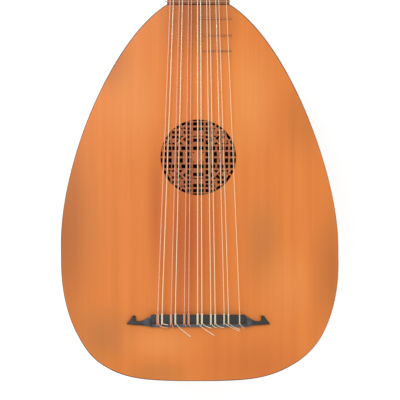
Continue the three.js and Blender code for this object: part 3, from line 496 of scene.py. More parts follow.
# %% Joining, cutting and the finish
def join(pieces):
    """Joins several pieces into the first."""
    start()
    for piece in pieces:
        piece.select_set(True)
    bpy.context.view_layer.objects.active = pieces[0]
    bpy.ops.object.join()
    return pieces[0]


def cut_away(piece, cutter):
    """Cuts the cutter's shape out of the piece and removes the cutter."""
    modify(piece, "BOOLEAN", operation="DIFFERENCE", solver="EXACT", object=cutter)
    bpy.data.objects.remove(cutter)


def keep(piece, name, finish, slot, body, *nodes):
    """Finishes a piece: its place, shading, wood, body and the parts that it stands for."""
    select(piece)
    bpy.ops.object.transform_apply(location=True, rotation=True, scale=True)
    bpy.ops.object.shade_smooth_by_angle(angle=math.radians(35))
    piece.name = piece.data.name = name
    piece.data.materials.clear()
    piece.data.materials.append(finish)
    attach(piece, body)
    if nodes:
        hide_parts(*nodes)
    return piece


print("finishing helpers ready")

# %% Plates cut to an outline
def cut_plate(outline, thickness, bevel, steps=16):
    """A bevelled plate on Z = 0. A corner of the outline is (x, y); a curved point is
    (handle before, point, handle after), with None for a handle on a straight side."""
    start()
    bpy.ops.curve.primitive_bezier_curve_add()
    plate = bpy.context.object
    curve = plate.data
    curve.dimensions = "2D"
    curve.fill_mode = "BOTH"
    curve.resolution_u = steps
    curve.extrude = thickness / 2 - bevel
    curve.bevel_depth = bevel
    curve.bevel_resolution = 2
    curve.offset = -bevel
    spline = curve.splines[0]
    spline.use_cyclic_u = True
    spline.bezier_points.add(len(outline) - 2)
    for knot, place in zip(spline.bezier_points, outline):
        before, point, after = place if len(place) == 3 else (None, place, None)
        knot.co = (*point, 0)
        knot.handle_left_type = "VECTOR" if before is None else "FREE"
        knot.handle_right_type = "VECTOR" if after is None else "FREE"
        if before is not None:
            knot.handle_left = (*before, 0)
        if after is not None:
            knot.handle_right = (*after, 0)
    plate.location.z = thickness / 2
    bpy.ops.object.convert(target="MESH")
    plate = bpy.context.object
    place_by(plate, Matrix())
    clean(plate, 0.002 * MM)
    return plate


print("plate helper ready")

# %% [markdown]
# ## The soundboard
# The board is a thin plate with a pear-shaped outline: two straight shoulders that swell into
# round flanks and close in a flat tail. Its outline is one smooth curve through eight points,
# because a mesh pushed into shape would show flats, and a small round-over takes the
# sharpness off its edge. Like many old lutes this one isn't quite even: behind the rose the
# body leans about two millimetres to the treble side. Six bars are glued across the board's
# underside, with their ends thinned so that it can move.

# %% Outline of the body
# Each handle's length is a share of the length or width that its curve bends over
shoulder_angle = math.radians(31.9)
flank = body_ahead - rest_half
shoulder = (neck_half + 0.278 * flank * math.cos(shoulder_angle),
            body_ahead - 0.278 * flank * math.sin(shoulder_angle))
flank_curve = [(neck_half, body_ahead), shoulder, (body_half, rest_half + 0.321 * flank),
               (body_half, rest_half)]
hip = Vector((0.705 * body_half, -0.859 * body_behind))
hip_angle = math.radians(56.8)
hip_handle = -0.241 * body_behind * Vector((math.sin(hip_angle), math.cos(hip_angle)))
hip_curve = [(body_half, -rest_half), (body_half, -rest_half - 0.347 * body_behind),
             tuple(hip - hip_handle), tuple(hip)]
tail_curve = [tuple(hip), tuple(hip + hip_handle), (0.36 * body_half, -body_behind),
              (0, -body_behind)]
print("hip:", [round(v, 4) for v in hip])

# %% Lean of the body
def lean_at(y):
    """How far the body leans to the treble side at y, at the board's height."""
    def ease(first, last):
        share = min(max((first - y) / (first - last), 0), 1)
        return share * share * (3 - 2 * share)
    return (1.8 * MM * ease(0.58 * body_ahead, -0.35 * body_behind)
            - 3.9 * MM * ease(-0.63 * body_behind, -body_behind))


def lean(piece):
    """Leans a piece of the body, less towards the bottom of the bowl."""
    for vertex in piece.data.vertices:
        vertex.co.x += lean_at(vertex.co.y) * min(vertex.co.z / bowl_depth, 1)


def mirrored(point):
    """The same point on the bass side."""
    return (-point[0], point[1])


print("lean at the widest part:", round(lean_at(0) / MM, 2), "mm")

# %% Board
treble_side = [
    (None, flank_curve[0], flank_curve[1]),
    (flank_curve[2], flank_curve[3], None),
    (None, hip_curve[0], hip_curve[1]),
    (hip_curve[2], hip_curve[3], tail_curve[1]),
]
tail_end = (tail_curve[2], tail_curve[3], mirrored(tail_curve[2]))
bass_side = [(None if after is None else mirrored(after), mirrored(point),
              None if before is None else mirrored(before))
             for before, point, after in reversed(treble_side)]
board = cut_plate([*treble_side, tail_end, *bass_side], board_thickness, 0.95 * MM, steps=40)
place_by(board, Matrix.Translation((0, 0, board_under)))
lean(board)
print("board:", len(board.data.polygons), "faces")

# %% Opening for the rose
rose_place = Vector((0, rose_ahead, board_under + board_thickness / 2))
start()
bpy.ops.mesh.primitive_cylinder_add(vertices=128, radius=rose_radius, depth=3 * board_thickness,
                                    location=rose_place)
cut_away(board, bpy.context.object)
print("board with its opening:", len(board.data.polygons), "faces")

# %% Bars
def bezier(curve, t):
    """The point at t on a curve of four (x, y) points."""
    a, b, c, d = (Vector(point) for point in curve)
    u = 1 - t
    return u ** 3 * a + 3 * u * u * t * b + 3 * u * t * t * c + t ** 3 * d


def half_width(y):
    """Half of the body's width at y, found by halving along the outline."""
    if abs(y) < rest_half:
        return body_half
    curve = flank_curve if y > 0 else hip_curve if y > hip.y else tail_curve
    low, high = 0.0, 1.0
    for _ in range(40):
        middle = (low + high) / 2
        if bezier(curve, middle).y > y:
            low = middle
        else:
            high = middle
    return bezier(curve, low).x


bar_width, bar_height, bar_end = 4.5 * MM, 14 * MM, 5 * MM
# A bar stops short of the ribs, and its top is glued a little way into the board
bar_room, bar_sunk = 6.8 * MM, 0.5 * MM
bars = []
for share in (0.83, 0.7, 0.57, 0.2, 0.02, -0.28):
    y = share * (body_ahead if share > 0 else body_behind)
    half = half_width(y + math.copysign(bar_width, y)) - bar_room
    scallop = min(2 * bar_height, half / 2)
    profile = [(-half, 0), (half, 0), (half, -bar_end), (half - scallop, -bar_height),
               (-half + scallop, -bar_height), (-half, -bar_end)]
    bar = cut_plate(profile, bar_width, 0.6 * MM)
    upright = Matrix.Rotation(math.pi / 2, 4, "X")
    place_by(bar, Matrix.Translation((0, y + bar_width / 2, board_under + bar_sunk)) @ upright)
    lean(bar)
    bars.append(bar)
board = join([board, *bars])
keep(board, "soundboard_plate", spruce, "spruce", "lute", "soundboard")
print("bars:", len(bars), "board faces:", len(board.data.polygons))

# %% [markdown]
# ## The rose
# A lute's rose is cut out of the board itself. This one is a basket of straps on a square
# grid, each passing over one strap and under the next, with plain leaves between them, a
# small square turned on each diagonal and curved straps near the rim. The carver cuts the
# holes and then works the straps lower where they cross. Here the straps are laid instead,
# because each can then rise over its neighbours by a simple wave. A strap starts as a flat
# grid, which is waved, given a shallow groove down its middle, thickened and rounded. The
# pattern is a table of places, repeated on four arms.

# %% One strap
grid_lines = [share * rose_radius
              for share in (0, 0.166, 0.313, 0.475, 0.595, 0.72, 0.815, 0.94, 1.1)]
strap_width, thin_width = 2.1 * MM, 1.0 * MM
strap_thickness = 1.1 * MM
weave = 0.28 * MM
strap_level = -0.05 * MM - weave


def weave_height(along, own):
    """Height of a strap at a place along it, over and under the straps that it crosses."""
    along = min(abs(along), grid_lines[-1])
    number = max(n for n, line in enumerate(grid_lines[:-1]) if line <= along)
    share = (along - grid_lines[number]) / (grid_lines[number + 1] - grid_lines[number])
    return weave * (-1) ** (number + own) * math.cos(math.pi * share)


def strap(line, width, first, last, turn, own=None, lower=0.0, curved=False):
    """A strap on a line beside the centre, from its first place to its last. One with a
    number of its own is woven, and a curved one has its line as its radius."""
    start()
    length = (last - first) * (line if curved else 1)
    bpy.ops.mesh.primitive_grid_add(x_subdivisions=max(2, int(length / (0.8 * MM))),
                                    y_subdivisions=4, size=1)
    piece = bpy.context.object
    for vertex in piece.data.vertices:
        along = first + (vertex.co.x + 0.5) * (last - first)
        out = line - vertex.co.y * width
        groove = 0.22 * MM if abs(vertex.co.y) < 0.1 and own is not None else 0
        height = (weave - lower if own is None else weave_height(along, own)) - groove
        if curved:
            vertex.co = (out * math.cos(along), out * math.sin(along), height)
        else:
            vertex.co = (out, along, height)
    modify(piece, "SOLIDIFY", thickness=strap_thickness, offset=-1)
    round_edges(piece, 0.22 * MM, degrees=50)
    place_by(piece, Matrix.Rotation(turn, 4, "Z") @ Matrix.Translation((0, 0, strap_level)))
    return piece


def both_sides(line, width, first, last, turn, **more):
    """The same strap on both sides of its arm, or one strap right across it."""
    if first == 0:
        return [strap(line, width, -last, last, turn, **more)]
    return [strap(line, width, *ends, turn, **more) for ends in ((first, last), (-last, -first))]


print("strap helpers ready")

# %% Woven straps
# Each row: share of the radius from the centre, and where the strap starts and ends along
strap_rows = [(0, 0, 1.03), (0.166, 0, 1.02), (0.313, 0, 0.98), (0.595, 0, 0.72),
              (0.72, 0.313, 0.74), (0.815, 0, 0.41), (0.475, 0.595, 0.78),
              (0.475, 0.166, 0.313), (0.52, 0, 0.166)]
straps = []
for quarter in range(4):
    for line, first, last in (row for row in strap_rows if quarter < 2 or row[0]):
        nearest = min(range(len(grid_lines) - 1),
                      key=lambda n: abs(grid_lines[n] - line * rose_radius))
        straps += both_sides(line * rose_radius, strap_width, first * rose_radius,
                             last * rose_radius, quarter * math.pi / 2, own=nearest + quarter)
print("woven straps:", len(straps))

# %% Leaves, thin straps and curved straps
thin_rows = [(0.705, 0.166, 0.313), (0.403, 0.72, 0.815), (0.94, 0, 0.313)]
# Each leaf: where it starts and ends out from the centre, then along
leaf_rows = [(0.313, 0.41, 0, 0.166), (0.595, 0.705, 0, 0.166), (0.925, 0.99, 0.166, 0.313),
             (0.595, 0.72, 0.385, 0.475)]
# The curved straps near the rim, and the short spokes that hold them to it
curve_radius, curve_width = 0.912 * rose_radius, 1.5 * MM
spoke_out, spoke_half = rose_radius + 1.2 * MM, 0.95 * MM
for quarter in range(4):
    turn = quarter * math.pi / 2
    for line, first, last in thin_rows:
        straps += both_sides(line * rose_radius, thin_width, first * rose_radius,
                             last * rose_radius, turn, lower=0.2 * MM)
    for inner, outer, first, last in leaf_rows:
        straps += both_sides((inner + outer) / 2 * rose_radius, (outer - inner) * rose_radius,
                             first * rose_radius, last * rose_radius, turn, lower=0.45 * MM)
    for side in (1, -1):
        ends = sorted((side * math.radians(19.5), side * math.radians(38.5)))
        straps.append(strap(curve_radius, curve_width, *ends, turn, curved=True))
        straps.append(strap((curve_radius + spoke_out) / 2, spoke_out - curve_radius,
                            -spoke_half, spoke_half, turn + side * math.radians(28.5)))
print("straps and leaves:", len(straps))

# %% Diagonal squares
for quarter in range(4):
    turn = (quarter + 0.5) * math.pi / 2
    straps.append(strap(0.65 * rose_radius, strap_width, -0.205 * rose_radius,
                        0.205 * rose_radius, turn))
    straps.append(strap(0.545 * rose_radius, 0.21 * rose_radius, -0.045 * rose_radius,
                        0.045 * rose_radius, turn, lower=0.3 * MM))
    fork = 0.05 * rose_radius
    straps += both_sides(0.725 * rose_radius, 0.15 * rose_radius, fork - thin_width / 2,
                         fork + thin_width / 2, turn, lower=0.2 * MM)
print("straps in all:", len(straps))

# %% Centre of the rose
half, hole_out, centre_thickness = 7.8 * MM, 5.3 * MM, 1.5 * MM
centre = cut_plate([(-half, -half), (half, -half), (half, half), (-half, half)],
                   centre_thickness, 0.3 * MM)
drills = []
for x in (-hole_out, hole_out):
    for y in (-hole_out, hole_out):
        start()
        bpy.ops.mesh.primitive_cylinder_add(vertices=24, radius=0.8 * MM, depth=8 * MM,
                                            location=(x, y, 0))
        drills.append(bpy.context.object)
cut_away(centre, join(drills))
place_by(centre, Matrix.Translation((0, 0, -centre_thickness)))

rose = join([*straps, centre])
place_by(rose, Matrix.Translation((0, rose_ahead, board_top)))
keep(rose, "rose_weave", spruce, "spruce", "lute")
print("rose:", len(rose.data.polygons), "faces")

# %% [markdown]
# ## The bowl
# Nine ribs, each about 1.8 mm thick, were bent over a mould and glued edge to edge. Spinning
# half of the body's outline round the strings' direction in nine steps gives the nine flat
# facets at once. The bowl is then made slightly shallower towards the neck, each rib is
# separated, and its sides are rounded a little, so that fine joint lines show. Towards the
# tail the outline is drawn in a little, to leave room for the end clasp. A UV map that runs
# along each rib lets the walnut's fibres follow the bend.

# %% Depth and tail of the bowl
rib_count = 9
facet = 1 / math.cos(math.pi / rib_count / 2)


def depth_share(y):
    """The bowl's depth as a share of its half-width at y."""
    rise = min(max((body_ahead - y) / flank, 0), 1)
    rise = rise * rise * (3 - 2 * rise)
    root = neck_depth / neck_half
    return root + (bowl_depth / body_half - root) * rise


def tail_at(t):
    """A point behind the flank, t from 0 to 2, and the outward normal there."""
    curve, t = (hip_curve, t) if t < 1 else (tail_curve, t - 1)
    along = bezier(curve, t + 0.001) - bezier(curve, t - 0.001)
    return bezier(curve, t), Vector((-along.y, along.x)).normalized()


def tail_spot(radius):
    """The point of the tail at a half-width, and its normal, found by halving."""
    low, high = 0.0, 2.0
    for _ in range(40):
        middle = (low + high) / 2
        if tail_at(middle)[0].x > radius:
            low = middle
        else:
            high = middle
    return tail_at(low)


print("bowl at the neck:", round(depth_share(body_ahead), 3), "deep for each half-width")

# %% Spin the outline
clasp_thickness, clasp_half = 1.2 * MM, 92 * MM
clasp_end = tail_spot(clasp_half)[0].y
# The ribs stop short of the middle line at the tail, under the clasp
rib_stop = 9 * MM
steps = 40
chain = [bezier(flank_curve, i / steps) for i in range(steps + 1)]
for i in range(steps + 1):
    point, normal = tail_at(2 * i / steps)
    share = min((point.y + rest_half) / (clasp_end + rest_half), 1)
    room = (clasp_thickness + seam) * share * share * (3 - 2 * share)
    chain.append(point - room * normal)
chain = [point for point in chain if point.x > rib_stop]
bowl = drawn("bowl", [(p.x, p.y, bowl_depth) for p in chain],
             [(i, i + 1) for i in range(len(chain) - 1)], [])
mesh = bowl.data
lengths = mesh.attributes.new("length", "FLOAT", "POINT")
travelled = 0.0
for i, point in enumerate(chain):
    travelled += (point - chain[i - 1]).length if i else 0
    lengths.data[i].value = travelled
edit_all(bowl)
bpy.ops.mesh.spin(steps=rib_count, angle=-math.pi, center=(0, 0, bowl_depth), axis=(0, 1, 0))
bpy.ops.object.mode_set(mode="OBJECT")

# %% Grain and depth of the bowl
side_turn = math.pi / rib_count
uv = mesh.uv_layers.new(name="UVMap")
for face in mesh.polygons:
    number = int(math.atan2(bowl_depth - face.center.z, face.center.x) / side_turn)
    middle = (number + 0.5) * side_turn
    for loop_index in face.loop_indices:
        vertex = mesh.vertices[mesh.loops[loop_index].vertex_index]
        radius = math.hypot(vertex.co.x, bowl_depth - vertex.co.z)
        angle = math.atan2(bowl_depth - vertex.co.z, vertex.co.x)
        v = mesh.attributes["length"].data[vertex.index].value
        uv.data[loop_index].uv = ((angle - middle) * radius, v)
for vertex in mesh.vertices:
    drop = (bowl_depth - vertex.co.z) * depth_share(vertex.co.y) * facet
    vertex.co.z = bowl_depth - drop
lean(bowl)
print("bowl shaped, lowest at", round(min(vertex.co.z for vertex in mesh.vertices), 4))

# %% Separate the ribs
rib_thickness = 1.8 * MM
# Ribs come from different planks: each has its own stretch of grain and its own shade
grain_shift = 0.37
rib_shades = (0.5, -0.7, 0.9, -0.4, 0.7, -0.9, 0.8, -0.5, 0.4)
inside = Vector((0, 60 * MM, bowl_depth))


def rib_at(face):
    """The number of the rib that a face of the shaped bowl belongs to."""
    drop = (bowl_depth - face.center.z) / depth_share(face.center.y) / facet
    across = face.center.x - lean_at(face.center.y) * face.center.z / bowl_depth
    return int(math.atan2(drop, across) / side_turn)


rib_faces = []
for number, depth in enumerate(rib_shades):
    rib = bowl
    if number < rib_count - 1:
        edit_faces(bowl, lambda face: rib_at(face) == number)
        bpy.ops.mesh.separate(type="SELECTED")
        bpy.ops.object.mode_set(mode="OBJECT")
        rib = [o for o in bpy.context.selected_objects if o is not bowl][0]
    outward = sum((face.center - inside).dot(face.normal) for face in rib.data.polygons)
    modify(rib, "SOLIDIFY", thickness=rib_thickness, offset=-1 if outward > 0 else 1)
    round_edges(rib, 0.4 * MM)
    for spot in rib.data.uv_layers[0].data:
        spot.uv.x += grain_shift * number
    shade = rib.data.attributes.new("shade", "FLOAT", "POINT")
    shade.data.foreach_set("value", [depth] * len(rib.data.vertices))
    keep(rib, f"bowl_rib_{number + 1}", walnut, "walnut", "lute", f"rib_{number + 1}")
    rib_faces.append(len(rib.data.polygons))
print("faces of each rib:", rib_faces)

# %% [markdown]
# ## The end clasp
# One more strip is bent round the outside of the tail, over the ribs' ends and flush with
# the board's edge, and its lower edge is cut to a long shallow curve. It starts as a flat
# grid, and each of its points is carried onto the bowl's tail before it gets its thickness.

# %% Clasp
start()
bpy.ops.mesh.primitive_grid_add(x_subdivisions=64, y_subdivisions=8, size=2)
clasp = bpy.context.object
# The clasp's height at its ends, and how much more it has in the middle
end_height, middle_more = 9 * MM, 12 * MM
tail_factor = depth_share(-body_behind) * facet
for vertex in clasp.data.vertices:
    share, down = vertex.co.x, (1 - vertex.co.y) / 2
    height = end_height + middle_more * math.sqrt(max(1 - share * share, 0))
    x, drop = share * clasp_half, height * down
    radius = max(math.hypot(x, drop / tail_factor), seam)
    spot, normal = tail_spot(radius)
    outward = Vector((normal.x * x / radius, normal.y,
                      -normal.x * drop / tail_factor ** 2 / radius)).normalized()
    vertex.co = Vector((x, spot.y, bowl_depth - drop)) - outward * clasp_thickness
for loop in clasp.data.loops:
    place = clasp.data.vertices[loop.vertex_index].co
    clasp.data.uv_layers[0].data[loop.index].uv = (place.z, place.x)
lean(clasp)
modify(clasp, "SOLIDIFY", thickness=clasp_thickness, offset=1)
round_edges(clasp, 0.3 * MM)
keep(clasp, "clasp_strip", walnut, "walnut", "lute", "end_clasp")

# %% [markdown]
# ## Neck and fingerboard
# The neck is a half-round bar, planed flat on top and tapering to the nut. It could be spun
# from a half-circle, but a cylinder with its upper half cut off already has the flat top, and
# each of its points is then drawn in to the taper. A notch at its end takes the pegbox. The
# fingerboard is a thin plate on top of it.

# %% Neck measures
bridge_front = -67.6 * MM
# The ninth fret stands just above the joint, nine semitones up the string
ninth_fret = body_ahead + 3.3 * MM
string_length = (ninth_fret - bridge_front) * 2 ** (9 / 12)
nut_y = bridge_front + string_length
nut_thickness = 4.5 * MM
neck_end = nut_y + nut_thickness + 1 * MM
nut_half, nut_depth = 26.5 * MM, 24 * MM
fingerboard_thickness = 3 * MM
neck_top = board_top - fingerboard_thickness - seam
neck_start = body_ahead + seam
# Where the pegbox's back starts down its length, and how deep the pegbox is
pegbox_top, pegbox_depth = 8.5 * MM, 26 * MM
pegbox_frame = (Matrix.Translation((0, neck_end + 3 * MM, board_top))
                @ Matrix.Rotation(-pegbox_bend, 4, "X"))


def taper(y, first, last):
    """A size that changes evenly from the body's joint to the neck's end."""
    return first + (last - first) * (y - body_ahead) / (neck_end - body_ahead)


def neck_half_at(y):
    """Half of the neck's width at y."""
    return taper(y, neck_half, nut_half)


print("strings:", round(string_length, 4), "m long, neck ends at y =", round(neck_end, 4))

# %% Neck
start()
bpy.ops.mesh.primitive_cylinder_add(vertices=96, radius=1, depth=1,
                                    rotation=(math.pi / 2, 0, 0))
neck = bpy.context.object
bpy.ops.object.transform_apply(rotation=True)
edit_all(neck)
bpy.ops.mesh.bisect(plane_co=(0, 0, 0), plane_no=(0, 0, 1), use_fill=True, clear_outer=True)
bpy.ops.object.mode_set(mode="OBJECT")
for vertex in neck.data.vertices:
    y = neck_start if vertex.co.y < 0 else neck_end
    vertex.co = (vertex.co.x * neck_half_at(y), y,
                 neck_top + vertex.co.z * taper(y, neck_depth, nut_depth))
clean(neck)
start()
bpy.ops.mesh.primitive_cube_add(size=1)
notch = bpy.context.object
notch_length = 140 * MM
notch.scale = (120 * MM, notch_length, 2 * pegbox_depth + seam)
notch_middle = (0, pegbox_top - seam + notch_length / 2, -seam / 2)
place_by(notch, pegbox_frame @ Matrix.Translation(notch_middle))
cut_away(neck, notch)
round_edges(neck, 0.6 * MM, segments=3)
keep(neck, "neck_bar", maple, "maple", "lute", "neck")
print("neck:", len(neck.data.polygons), "faces")

# %% Fingerboard
def strip_between(half_at, first, last):
    """Four corners of a strip down the middle, from its half-width at two places."""
    near, far = ((half_at(y), y) for y in (first, last))
    return [mirrored(near), near, far, mirrored(far)]


fingerboard = cut_plate(strip_between(neck_half_at, neck_start, nut_y - seam),
                        fingerboard_thickness, 0.4 * MM)
place_by(fingerboard, Matrix.Translation((0, 0, board_top - fingerboard_thickness)))
keep(fingerboard, "fingerboard_plate", plum, "plum", "lute", "fingerboard")
print("fingerboard:", [round(v, 4) for v in fingerboard.dimensions])

# %% [markdown]
# ## Strings: where they lie
# Thirteen strings make seven courses: six pairs and the single first string. Their places at
# the bridge and the nut decide where the bridge is drilled and the nut is filed, so they are
# worked out before those two are made.

# %% Places of the strings
# In the order of their names, from the bass side to the treble side
radii = [r * MM for r in (0.62, 0.4, 0.55, 0.38, 0.46, 0.46, 0.42, 0.42, 0.36, 0.36,
                          0.3, 0.3, 0.26)]
string_names = ["7_bass", "7_octave", "6_bass", "6_octave", "5_a", "5_b", "4_a", "4_b",
                "3_a", "3_b", "2_a", "2_b", "1"]


def string_x(string, shift, course_gap, pair_gap):
    """Where a string lies across the lute; the measures are in millimetres."""
    half = 0 if string == len(radii) - 1 else string % 2 - 0.5
    return (shift + (string // 2 - 3) * course_gap + half * pair_gap) * MM


bridge_x = [string_x(s, 1.6, 14.8, 4.8) for s in range(len(radii))]
nut_x = [string_x(s, 0.4, 7, 2.4) for s in range(len(radii))]
# Height of the strings' holes over the bridge's foot
hole_height = 5.3 * MM
hole_z = board_top + seam + hole_height
nut_z = board_top + 2 * MM
print("strings at the bridge:", [round(x / MM, 1) for x in bridge_x])

# %% [markdown]
# ## The nut
# A strip of polished bone ends the fingerboard and holds the strings apart in thirteen filed
# slots. The slots could be drawn in its outline, but thin rods cut them as a maker's files
# do, each to the width of its own string.

# %% Nut
start()
nut_foot = neck_top + seam
nut_height = nut_z - nut_foot
bpy.ops.mesh.primitive_cube_add(size=1, location=(0, nut_y + nut_thickness / 2,
                                                  nut_foot + nut_height / 2))
nut = bpy.context.object
nut.scale = (2 * neck_half_at(nut_y), nut_thickness, nut_height)
place_by(nut, Matrix())
modify(nut, "BEVEL", width=0.7 * MM, segments=3)


def rods(places, z, sizes, y, length, sides=20):
    """Rods along Y at several places, for drilled holes and filed slots."""
    made = []
    for x, radius in zip(places, sizes):
        start()
        bpy.ops.mesh.primitive_cylinder_add(vertices=sides, radius=radius, depth=length,
                                            location=(x, y, z),
                                            rotation=(math.pi / 2, 0, 0))
        made.append(bpy.context.object)
    return join(made)


cut_away(nut, rods(nut_x, nut_z, [r + 0.1 * MM for r in radii], nut_y, 20 * MM))
# Bone is pale, faintly clouded and polished, and lets a little light in under its surface
bone, tree = material("polished bone")
place = node(tree, "TexCoord").outputs["Object"]
grain = node(tree, "TexNoise", {"Vector": place, "Scale": 1 / (1.5 * MM), "Detail": 3})
tone = node(tree, "MixRGB", {"Fac": grain.outputs["Fac"], "Color1": colour("F0E4C8"),
                             "Color2": colour("D9C49C")})
shader = node(tree, "BsdfPrincipled", {"Base Color": tone.outputs[0], "Roughness": 0.3,
                                       "Subsurface Weight": 0.08,
                                       "Subsurface Scale": 1.5 * MM})
node(tree, "OutputMaterial", {"Surface": shader.outputs[0]})
keep(nut, "nut_bone", bone, "bone", "lute", "nut")
print("nut:", [round(v, 4) for v in nut.dimensions])

# %% [markdown]
# ## The bridge
# A lute has no saddle: its strings loop round themselves in front of a low block that is
# glued to the board. The block is flat on top and hollowed down to a thin heel behind, and a
# curled wing runs out from each end. The block has the same profile all along, so it is that
# profile, cut as a plate and stood on edge. A wing's shape shows from above instead, so it is
# a plate that lies flat, and its top then slopes down towards the tip.

# %% Bridge block
bridge_width, bridge_depth, bridge_height = 104.5 * MM, 14 * MM, 8 * MM
# Where the flat top ends behind the front, and how high the heel is
crest_depth, heel_height = 9 * MM, 2.5 * MM
bridge_back = bridge_front - bridge_depth
profile = [(0, 0),
           (None, (0, 6.4 * MM), (0, 7.4 * MM)),
           ((0.5 * MM, bridge_height), (1.6 * MM, bridge_height), None),
           (8.6 * MM, bridge_height),
           (None, (9.1 * MM, 7.3 * MM), (9.9 * MM, 4.6 * MM)),
           ((11.6 * MM, 2.9 * MM), (bridge_depth, heel_height), None),
           (bridge_depth, 0)]
block = cut_plate(profile, bridge_width, 0.25 * MM, steps=8)
on_edge = Matrix(((0, 0, -1, bridge_width / 2), (-1, 0, 0, bridge_front),
                  (0, 1, 0, board_top + seam), (0, 0, 0, 1)))
place_by(block, on_edge)
print("block:", len(block.data.polygons), "faces")

# %% Bridge wings
# Points round a wing, as shares of its reach and of the bridge's depth from its back edge
wing_shares = [(0, 0), (0.1, 0.04), (0.3, 0.13), (0.7, 0.18), (1, 0.24), (0.93, 0.43),
               (0.83, 0.66), (0.76, 0.88), (0.69, 0.93), (0.63, 0.84), (0.64, 0.62),
               (0.58, 0.49), (0.42, 0.5), (0.28, 0.6), (0.14, 0.76), (0, 0.96)]
wing_reach, wing_thickness = 28 * MM, 4 * MM
# The wing starts a little inside the block, so that the two are one piece
wing_root = -0.5 * MM


def smooth_outline(points, corners):
    """Curved points through a list, with handles along their neighbours' direction."""
    made = []
    count = len(points)
    for number, point in enumerate(points):
        here = Vector(point)
        before, after = Vector(points[number - 1]), Vector(points[(number + 1) % count])
        if number in corners:
            made.append(point)
            continue
        along = (after - before).normalized()
        back = here - along * (here - before).length / 3
        ahead = here + along * (after - here).length / 3
        made.append((tuple(back), point, tuple(ahead)))
    return made


points = [(along * wing_reach, up * bridge_depth) for along, up in wing_shares]
points = [(wing_root, 0), *points, (wing_root, points[-1][1])]
corners = (0, 1, 5, len(points) - 2, len(points) - 1)
# A sloping shoulder carries the block's end down to the wing
slope = [(wing_root, 0), (wing_root, 7.6 * MM),
         (None, (0, 7.4 * MM), (1.6 * MM, 5.6 * MM)),
         ((4 * MM, 4 * MM), (6.5 * MM, 3.4 * MM), None), (6.5 * MM, 0)]
print("wing outline:", len(points), "points")

# %% Wings and shoulders in place
wings = []
for side in (1, -1):
    wing = cut_plate(smooth_outline(points, corners), wing_thickness, 0.9 * MM, steps=5)
    for vertex in wing.data.vertices:
        share = min(max(vertex.co.x / wing_reach, 0), 1)
        if vertex.co.z > wing_thickness / 2:
            vertex.co.z -= 1.3 * MM * share
    if side < 0:
        place_by(wing, Matrix.Diagonal((-1, 1, 1, 1)))
        clean(wing)
    place_by(wing, Matrix.Translation((side * bridge_width / 2, bridge_back,
                                       board_top + seam)))
    wings.append(wing)
    shoulder_block = cut_plate(slope, 8 * MM, 0.6 * MM, steps=8)
    stand = Matrix(((side, 0, 0, side * bridge_width / 2), (0, 0, 1, bridge_back + 1.6 * MM),
                    (0, 1, 0, board_top + seam), (0, 0, 0, 1)))
    place_by(shoulder_block, stand)
    clean(shoulder_block)
    wings.append(shoulder_block)
holes = rods(bridge_x, hole_z, [r + 0.3 * MM for r in radii], bridge_front, 60 * MM, 16)
cut_away(block, holes)
bridge = join([block, *wings])
keep(bridge, "bridge_carved", pearwood, "black_wood", "lute", "bridge")
print("bridge:", [round(v, 4) for v in bridge.dimensions])

# %% [markdown]
# ## Cords of gut and copper
# Strings and tied frets are gut: pale, smooth and slightly clear. The four thickest strings
# have a fine copper wire wound round them. Each is a round tube along its route. A curve with
# a bevel would be quicker to make, but a tube of its own can have a UV map that measures the
# length in metres, so that the wire's turns are drawn as rings. The wire is really a quarter
# of a millimetre thick, and it is drawn twice as coarse, so that it shows at all.

# %% Gut and copper
def twisted_gut(name, pale, deep):
    """Gut between two tones, which change slowly along the cord."""
    made, tree = material(name)
    place = node(tree, "TexCoord").outputs["UV"]
    mottle = node(tree, "TexNoise", {"Vector": place, "Scale": 1 / (9 * MM), "Detail": 2})
    tone = node(tree, "MixRGB", {"Fac": mottle.outputs["Fac"], "Color1": colour(pale),
                                 "Color2": colour(deep)})
    shader = node(tree, "BsdfPrincipled", {"Base Color": tone.outputs[0], "Roughness": 0.25,
                                           "IOR": 1.5, "Coat Weight": 1.0})
    node(tree, "OutputMaterial", {"Surface": shader.outputs[0]})
    return made


gut = twisted_gut("varnished gut", "FFF6DA", "FFEABC")
# The tied frets are older gut, browned by the player's fingers
fret_gut = twisted_gut("handled gut", "DDAA74", "C08A58")

copper, tree = material("copper wire on gut")
place = node(tree, "TexCoord").outputs["UV"]
wire = 0.5 * MM
turns = node(tree, "TexWave", {"Vector": place, "Scale": wave_unit / wire},
             bands_direction="Y", wave_profile="SIN")
# Darker copper in each groove and paler copper on each crest: painted shade and painted
# highlight
tone = node(tree, "MixRGB", {"Fac": turns.outputs["Fac"], "Color1": colour("CC8464"),
                             "Color2": colour("FFC6A8")})
relief = node(tree, "Bump", {"Height": turns.outputs["Fac"], "Strength": 0.6,
                             "Distance": 0.1 * MM})
shader = node(tree, "BsdfPrincipled", {"Base Color": tone.outputs[0], "Metallic": 0.4,
                                       "Roughness": 0.42, "Normal": relief.outputs[0]})
node(tree, "OutputMaterial", {"Surface": shader.outputs[0]})
print("gut and copper ready")

# %% Smooth routes
def smooth_route(points, steps=6):
    """Points of a centripetal curve that runs through all the given ones."""
    first = 2 * points[0] - points[1]
    last = 2 * points[-1] - points[-2]
    line = [first, *points, last]
    route = []
    for number in range(len(points) - 1):
        a, b, c, d = line[number:number + 4]
        ab, bc, cd = (max((q - p).length, 1e-9) ** 0.5 for p, q in ((a, b), (b, c), (c, d)))
        start_slope = ((b - a) / ab - (c - a) / (ab + bc) + (c - b) / bc) * bc
        end_slope = ((c - b) / bc - (d - b) / (bc + cd) + (d - c) / cd) * bc
        for step in range(steps):
            t = step / steps
            t2, t3 = t * t, t * t * t
            route.append((2 * t3 - 3 * t2 + 1) * b + (t3 - 2 * t2 + t) * start_slope
                         + (3 * t2 - 2 * t3) * c + (t3 - t2) * end_slope)
    return [*route, points[-1]]


print("route helper ready")

